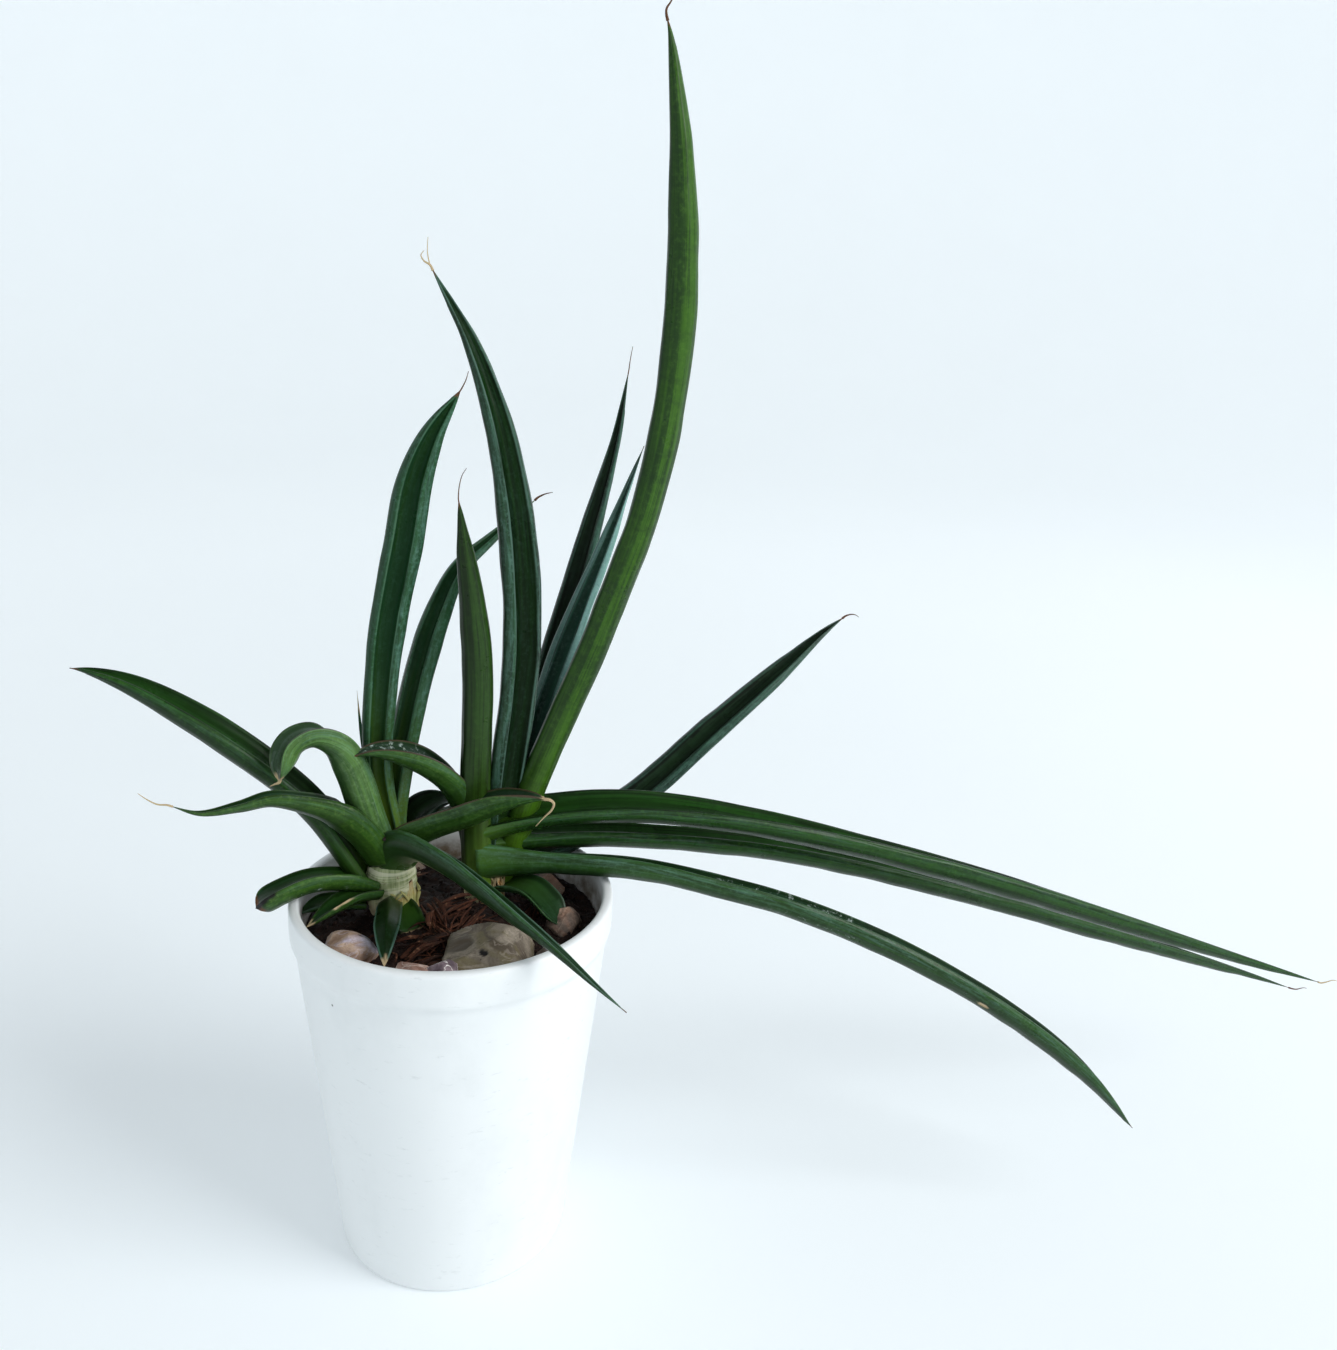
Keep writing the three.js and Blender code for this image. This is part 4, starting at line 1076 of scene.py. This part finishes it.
def build_stone(index, name, azimuth, size, rise, gap, look, rough, marks):
    """A lumpy ball with worn facets and marks, set against the pot's wall."""
    points, faces = ball()
    lump = (np.sin(2.3 * points[:, 0] + index) * np.sin(2.1 * points[:, 1] + 2 * index)
            + 0.6 * np.sin(3.1 * points[:, 2] + 3 * index))
    swell = 0.93 + 0.06 * lump + 0.035 * rough * noise(points * 2.2 + index, 41, 3)
    swell = swell + 0.012 * rough * noise(points * 9 + index, 42, 2)
    rng = random.Random(500 + index)
    for _ in range(FLATS):
        toward = unit(np.array([rng.uniform(-1, 1), rng.uniform(-1, 1), rng.uniform(-0.3, 1)]))
        over = (points @ toward) * swell / rng.uniform(0.66, 0.86)
        swell = swell / np.where(over > 1, 1 + (over - 1) * smoothstep(1, 1.04, over), 1)
    masks = {key: np.zeros(len(points)) for key in MARK_DEPTHS}
    for kind, toward, reach in marks:
        aside = np.linalg.norm(points - unit(np.array(toward)), axis=1) + 0.08 * noise(points * 6, 43)
        spot = smoothstep(reach, reach * 0.6, aside)
        masks[kind] = np.maximum(masks[kind], spot)
        swell = swell - MARK_DEPTHS[kind] * spot
    along, deep, tall = np.array(size) / 2
    shape = points * swell[:, None] * [deep, along, tall]
    turn = math.radians(azimuth)
    level = SOIL_LEVEL + rise
    reach = inner_radius(min(level, BAND_BOTTOM)) - gap - deep
    x = shape[:, 0] * math.cos(turn) - shape[:, 1] * math.sin(turn) + reach * math.cos(turn)
    y = shape[:, 0] * math.sin(turn) + shape[:, 1] * math.cos(turn) + reach * math.sin(turn)
    mesh = Mesh()
    mesh.add(np.stack([x, y, shape[:, 2] + level], axis=1), faces, **masks)
    mesh.piece(name + "_pebble", [STONE_MATERIALS[look]], SLOTS[name], [name])


STONE_MATERIALS = {look: stone_material(look) for look in STONE_LOOKS}
for number, stone in enumerate(STONES):
    build_stone(number, *stone)


# ---------------------------------------------------------------- bark

STONE_RING = 20  # the pebbles take up this much of the soil at the wall
BARK_REACH = SOIL_RADIUS - STONE_RING
# Name, place in shares of the reach, turn and tilt in degrees, and size, as in the CAD source.
BARK = [
    ("bark_1", (-0.17, -0.25), 100, 14, (17, 5, 2.4)),
    ("bark_2", (0.03, 0), 20, 8, (16, 6, 2.6)),
    ("bark_3", (0.08, -0.33), 55, 10, (18, 5, 2.2)),
    ("bark_4", (-0.33, -0.7), 30, 6, (16, 6, 2.4)),
    ("bark_5", (-0.06, -0.56), 140, 12, (15, 5, 2.2)),
    ("bark_6", (-0.28, -1.06), 15, 4, (14, 5, 2.2)),
    ("bark_7", (0.84, 0), 70, 8, (15, 6, 2.4)),
    ("bark_8", (-0.61, 0.75), 35, 5, (16, 7, 2.6)),
]
BARK_LIFT = 1
SPLINTER_ROWS, SPLINTER_SIDES = 18, 14
CHIP_STRANDS = 19
STRAND_BREADTHS = (0.5, 0.8, 1.1, 1.6, 2.6)


def add_splinter(mesh, start, stop, broad, thin, rng, seed, kind=0, **masks):
    """A torn fibre bundle: a flat, twisted strip with ridges along it and frayed ends."""
    start, stop = np.array(start, float), np.array(stop, float)
    middle = (start + stop) / 2 + [rng.uniform(-1, 1), rng.uniform(-1, 1), rng.uniform(0, 1.4)]
    line, ahead, length = curve_through([start, middle, stop], samples=SPLINTER_ROWS)
    share = np.linspace(0, 1, SPLINTER_ROWS)
    across = unit(np.cross(ahead, [0, 0, 1.0]))
    up = np.cross(across, ahead)
    twist = rng.uniform(-0.8, 0.8) + rng.uniform(-1, 1) * share
    lean = np.cos(twist)[:, None] * across + np.sin(twist)[:, None] * up
    rise = -np.sin(twist)[:, None] * across + np.cos(twist)[:, None] * up
    angle = np.linspace(0, 2 * math.pi, SPLINTER_SIDES, endpoint=False)
    taper = np.clip(np.sin(math.pi * (0.06 + 0.88 * share)), 0.15, 1) ** 0.5
    ridges = 1 + 0.28 * noise(stacked(angle * 1.9, share[:, None] * 3, seed), 51, 2)
    x = broad / 2 * taper[:, None] * np.cos(angle) * ridges
    y = thin / 2 * taper[:, None] * np.sin(angle) * ridges
    rings = line[:, None] + x[..., None] * lean[:, None] + y[..., None] * rise[:, None]
    points = np.vstack([rings.reshape(-1, 3), line[0] - ahead[0] * 0.3, line[-1] + ahead[-1] * 0.3])
    flat = np.zeros((len(points), 2))
    round_run = np.linspace(0, 3 * broad, SPLINTER_SIDES, endpoint=False)
    flat[:-2, 0] = np.tile(round_run + 31 * seed, SPLINTER_ROWS)
    flat[:-2, 1] = np.repeat(share * length, SPLINTER_SIDES) + 57 * seed
    masks.setdefault("dark", 0.9 * rng.random() ** 1.5)
    mesh.add(points, skin(SPLINTER_ROWS, SPLINTER_SIDES), flat, kind=kind, **masks)


def build_bark(index, name, at, turn, tilt, size):
    """A chip as a loose bundle of torn strands."""
    rng = random.Random(100 + index)
    length, width, thick = size
    turn, tilt = math.radians(turn), math.radians(tilt)
    ahead = np.array([math.cos(turn) * math.cos(tilt), math.sin(turn) * math.cos(tilt), math.sin(tilt)])
    across = np.array([-math.sin(turn), math.cos(turn), 0])
    x, y = (share * BARK_REACH for share in at)
    middle = np.array([x, y, float(ground(x, y)) + BARK_LIFT])
    mesh = Mesh()
    for strand in range(CHIP_STRANDS):
        over = (strand / (CHIP_STRANDS - 1) - 0.5) * width * 1.25
        reach = length / 2 * rng.uniform(0.35, 1.15)
        slide = rng.uniform(-0.3, 0.3) * length
        lift = rng.uniform(-0.5, 1.1) * thick
        skew = across * rng.uniform(-2.2, 2.2)
        start = middle - ahead * (reach - slide) + across * over - skew + [0, 0, lift - 0.5]
        stop = middle + ahead * (reach + slide) + across * over + skew + [0, 0, lift]
        broad = rng.choice(STRAND_BREADTHS)
        add_splinter(mesh, start, stop, broad, min(broad, rng.uniform(0.4, 1.0)), rng, index * 20 + strand)
    mesh.piece(name + "_fibres", [BARK_MATERIAL], "bark", [name])


BARK_MATERIAL = bark_material()
build_soil()
for number, chip in enumerate(BARK):
    build_bark(number, *chip)


# ---------------------------------------------------------------- crowns and sheaths

CROWN_SEGMENTS = 90
BLACK_BITS = 14  # dead scraps on the top of the left crown


def build_crown(side, index):
    """A short stem: a turned body with ring scars. The left one has dead black scraps at its top."""
    x, y, radius = CROWNS[side]
    top = SOIL_LEVEL + CROWN_HEIGHT[side]
    bottom = SOIL_LEVEL - CROWN_DEPTH
    outline = [(0.5, bottom, 0), (radius * 0.7, bottom + 1, 1), (radius * 0.95, bottom + 4, 1.5),
               (radius * 0.97, SOIL_LEVEL + 4, 2), (radius * 1.04, top - 4, 2),
               (radius * 0.8, top + 2, 2), (0.5, top + 3, 0)]
    profile = filled_in(rounded(outline), 0.5)
    rings, faces = turned_skin(profile, CROWN_SEGMENTS)
    ridge = 0.30 * noise(stacked(rings[..., 0] / 14, rings[..., 1] / 14, rings[..., 2] / 2.4), 61 + index, 2)
    ridge = ridge + 0.18 * noise(rings / [1.6, 1.6, 9], 62, 2)
    ridge = ridge * smoothstep(0.5, radius * 0.5, np.hypot(rings[..., 0], rings[..., 1]))
    rings = rings + outward_from_axis(rings, 0.5) * (ridge - 0.15)[..., None]
    points = np.vstack([rings.reshape(-1, 3), [0, 0, bottom], [0, 0, top + 3]])
    girth = 6.28 * radius
    flat = np.zeros((len(points), 2))
    flat[:-2, 0] = np.tile(np.linspace(0, girth, CROWN_SEGMENTS, endpoint=False), len(profile))
    flat[:-2, 1] = np.repeat(profile[:, 1], CROWN_SEGMENTS)
    papery = smoothstep(SOIL_LEVEL + 16, SOIL_LEVEL + 3, points[:, 2])
    mesh = Mesh()
    mesh.add(points + [x, y, 0], faces, flat, girth, papery=papery)
    if side == "left":
        rng = random.Random(91)
        for _ in range(BLACK_BITS):
            place = np.array([x - 3.5 + rng.uniform(-3.5, 3), y - 8.5 + rng.uniform(-1, 1), top + 13])
            place[2] += rng.uniform(-2, 2)
            step = np.array([rng.uniform(-2, 2), rng.uniform(-0.6, 0.6), rng.uniform(-0.8, 0.8)])
            add_splinter(mesh, place - step, place + step, rng.uniform(0.8, 1.9), 0.9, rng, 900, edge=1.0)
    mesh.piece("crown_" + side + "_stem", [CROWN_MATERIAL], "crown", ["crown_" + side])


CROWN_MATERIAL = crown_material()
for number, crown_side in enumerate(CROWNS):
    build_crown(crown_side, number)


# Start and stop azimuths, heights above the soil and standoff repeat the CAD sheaths. green is how fresh
# a sheath is near its foot.
SHEATHS = {
    "sheath_left": dict(crown="left", start=275, stop=355, bottom=1, top=16, standoff=0.6, green=0.7),
    "sheath_right": dict(crown="right", start=255, stop=292, bottom=3, top=30, standoff=0.6, green=0.1),
    "sheath_right_strip": dict(crown="right", start=296, stop=322, bottom=2, top=15, standoff=1, green=0),
}
SHEATH_THICKNESS = 0.8  # in the CAD source
SHEET_HALF = 0.22  # half the thickness of the visible sheet
SHEET_COLUMNS, SHEET_ROWS = 60, 70

# Torn strips beside each sheath: how many, and their azimuths, heights, distance from the crown's
# skin, breadths and how green and how dark they are.
SHREDS = {
    "sheath_left": [(9, (285, 350), (6, 2), 1.0, (0.8, 1.8), 0.0, 0.2),
                    (5, (265, 340), (15, 8), 0.8, (0.8, 2.2), 0.6, 0.0)],
    "sheath_right": [(12, (258, 300), (19, 2), 1.3, (0.9, 2.6), 0.0, 0.3),
                     (5, (268, 300), (16, 4), 1.8, (0.8, 1.5), 0.0, 0.6)],
    "sheath_right_strip": [(8, (286, 322), (15, 2), 1.4, (0.7, 1.8), 0.1, 0.3)],
}


def add_shreds(mesh, name, index):
    """The torn strips beside a sheath."""
    crown_x, crown_y, radius = CROWNS[SHEATHS[name]["crown"]]
    rng = random.Random(300 + index)
    for count, azimuths, heights, standoff, breadths, green, dark in SHREDS[name]:
        for strand in range(count):
            ends = []
            for height in heights:
                azimuth = math.radians(rng.uniform(*azimuths))
                reach = radius + standoff + rng.uniform(-0.8, 0.8)
                level = SOIL_LEVEL + height + rng.uniform(-2.5, 2.5)
                ends.append((crown_x + reach * math.cos(azimuth), crown_y + reach * math.sin(azimuth), level))
            add_splinter(mesh, *ends, rng.uniform(*breadths), 0.5, rng, 700 + 40 * index + strand,
                         green=green, edge=dark * rng.random())


def build_sheath(name, sheath, index):
    """A thin dry sheet that stands against its crown, creased lengthwise, with a torn top."""
    crown_x, crown_y, radius = CROWNS[sheath["crown"]]
    columns, rows = SHEET_COLUMNS, SHEET_ROWS
    share = np.linspace(0, 1, columns)
    angle = np.radians(sheath["start"] + (sheath["stop"] - sheath["start"]) * share)
    crest = np.sin(math.pi * share) ** 0.6
    torn = 1.6 * noise(stacked(share * 9, index, 0.0), 71, 3)
    height = (sheath["top"] - sheath["bottom"]) * (0.62 + 0.38 * crest) + torn
    up = np.linspace(0, 1, rows)[:, None]
    z = SOIL_LEVEL + sheath["bottom"] + up * height
    crease = 0.35 * noise(stacked(share * 22, up * 2.0, index), 72, 3)
    curl = 0.9 * up ** 4 * noise(stacked(share * 5, 0.0, index), 73)
    middle = radius * (1 - 0.12 * up) + sheath["standoff"] + SHEATH_THICKNESS / 2 + crease + curl
    half = SHEET_HALF * (1 - 0.5 * up)
    shells = []
    for offset in (half, -half):
        reach = middle + offset
        shells.append(np.stack(np.broadcast_arrays(
            crown_x + reach * np.cos(angle), crown_y + reach * np.sin(angle), z), axis=-1))
    count = rows * columns
    faces = []
    for row in range(rows - 1):
        for column in range(columns - 1):
            a, b = row * columns + column, row * columns + column + 1
            c, d = b + columns, a + columns
            faces += [(a, b, c, d), (count + a, count + d, count + c, count + b)]
    rim = ([(0, c) for c in range(columns)] + [(r, columns - 1) for r in range(1, rows)]
           + [(rows - 1, c) for c in range(columns - 2, -1, -1)] + [(r, 0) for r in range(rows - 2, 0, -1)])
    rim = [r * columns + c for r, c in rim]
    faces += [(a, count + a, count + b, b) for a, b in zip(rim, rim[1:] + rim[:1])]
    flat = np.stack(np.broadcast_arrays(share * radius * 2, up * height), axis=-1).reshape(-1, 2)
    to_edge = np.minimum(np.minimum(share, 1 - share) * radius, (1 - up) * height)
    edge = smoothstep(0.9, 0.2, to_edge + 0.5 * noise(stacked(share * 12, up * 9, 0.0), 74)).ravel()
    green = sheath["green"] * smoothstep(1.0, 0.4, up + 0 * share).ravel()
    mesh = Mesh()
    mesh.add(np.vstack([s.reshape(-1, 3) for s in shells]), faces, np.vstack([flat, flat]),
             edge=np.tile(edge, 2), green=np.tile(green, 2))
    add_shreds(mesh, name, index)
    mesh.piece(name + "_sheet", [SHEATH_MATERIAL], "sheath", [name])


SHEATH_MATERIAL = sheath_material()
for number, (sheath_name, sheath) in enumerate(SHEATHS.items()):
    build_sheath(sheath_name, sheath, number)


# ---------------------------------------------------------------- floor, light and camera

STAGE_SEGMENTS = 96
CORNER_STEPS = 24


def build_stage():
    """A pale floor that sweeps up into a round backdrop, open at the top, with a glow that grows with
    the distance from the pot."""
    s = Shader("backdrop", 0.9)
    material = s.finish(s.mix(s.noise(s.places, 3, 2), "#dde3e6", "#e0e6e9"), None, 0.1)
    away = s.new("ShaderNodeVectorMath", operation="LENGTH")
    s.put(away.inputs[0], s.places)
    # painted light: the floor and backdrop glow though they are no lamp, more weakly near the pot, so the
    # floor round it stays darker as a painted shadow
    s.put(s.surface.inputs["Emission Color"], "#f3f6f8")
    s.put(s.surface.inputs["Emission Strength"], s.span(away.outputs["Value"], 0.2, 1.6, 0.23, 0.325))
    profile = rounded([(1, 0, 0), (4200, 0, 1800), (4600, 5000, 0)], CORNER_STEPS)
    rings, _ = turned_skin(profile, STAGE_SEGMENTS)
    faces = [face[::-1] for face in skin(len(profile), STAGE_SEGMENTS, closed_ends=False)]
    middle = tuple(range(STAGE_SEGMENTS))
    stage = make_object("floor", rings.reshape(-1, 3), faces + [middle], [material])


def build_light():
    """One large square window, high at the front right, that faces the middle of the plant."""
    light = bpy.data.lights.new("window", "AREA")
    light.shape, light.size, light.energy = "SQUARE", 1.5, 62
    lamp = bpy.data.objects.new("window", light)
    lamp.location = (2.2, -1.35, 2.0)
    lamp.visible_camera = False
    aim = Vector((0.05, 0, 0.2)) - lamp.location
    lamp.rotation_euler = aim.to_track_quat("-Z", "Y").to_euler()
    bpy.context.scene.collection.objects.link(lamp)


def build_camera():
    """The view of the reference picture: yaw, pitch and roll in degrees, lens from a 36 mm film."""
    yaw, pitch, tip_over = (math.radians(angle) for angle in (11.12, -17.59, 3.16))
    ahead = Vector((math.sin(yaw) * math.cos(pitch), math.cos(yaw) * math.cos(pitch), math.sin(pitch)))
    right = Vector((math.cos(yaw), -math.sin(yaw), 0))
    up = right.cross(ahead)
    camera_x = math.cos(tip_over) * right + math.sin(tip_over) * up
    camera_y = -math.sin(tip_over) * right + math.cos(tip_over) * up
    data = bpy.data.cameras.new("camera")
    data.lens = 30.67
    data.clip_start, data.clip_end = 0.02, 20
    camera = bpy.data.objects.new("camera", data)
    turn = Matrix((camera_x, camera_y, -ahead)).transposed()
    camera.matrix_world = Matrix.Translation((0, -0.403, 0.366)) @ turn.to_4x4()
    bpy.context.scene.collection.objects.link(camera)
    bpy.context.scene.camera = camera


build_stage()
build_light()
build_camera()

world = bpy.data.worlds.new("sky")
world.use_nodes = True
sky = world.node_tree.nodes["Background"].inputs
sky["Color"].default_value = (*srgb("#f3f8fb"), 1)
sky["Strength"].default_value = 0.32
bpy.context.scene.world = world
bpy.context.scene.view_settings.view_transform = "Standard"
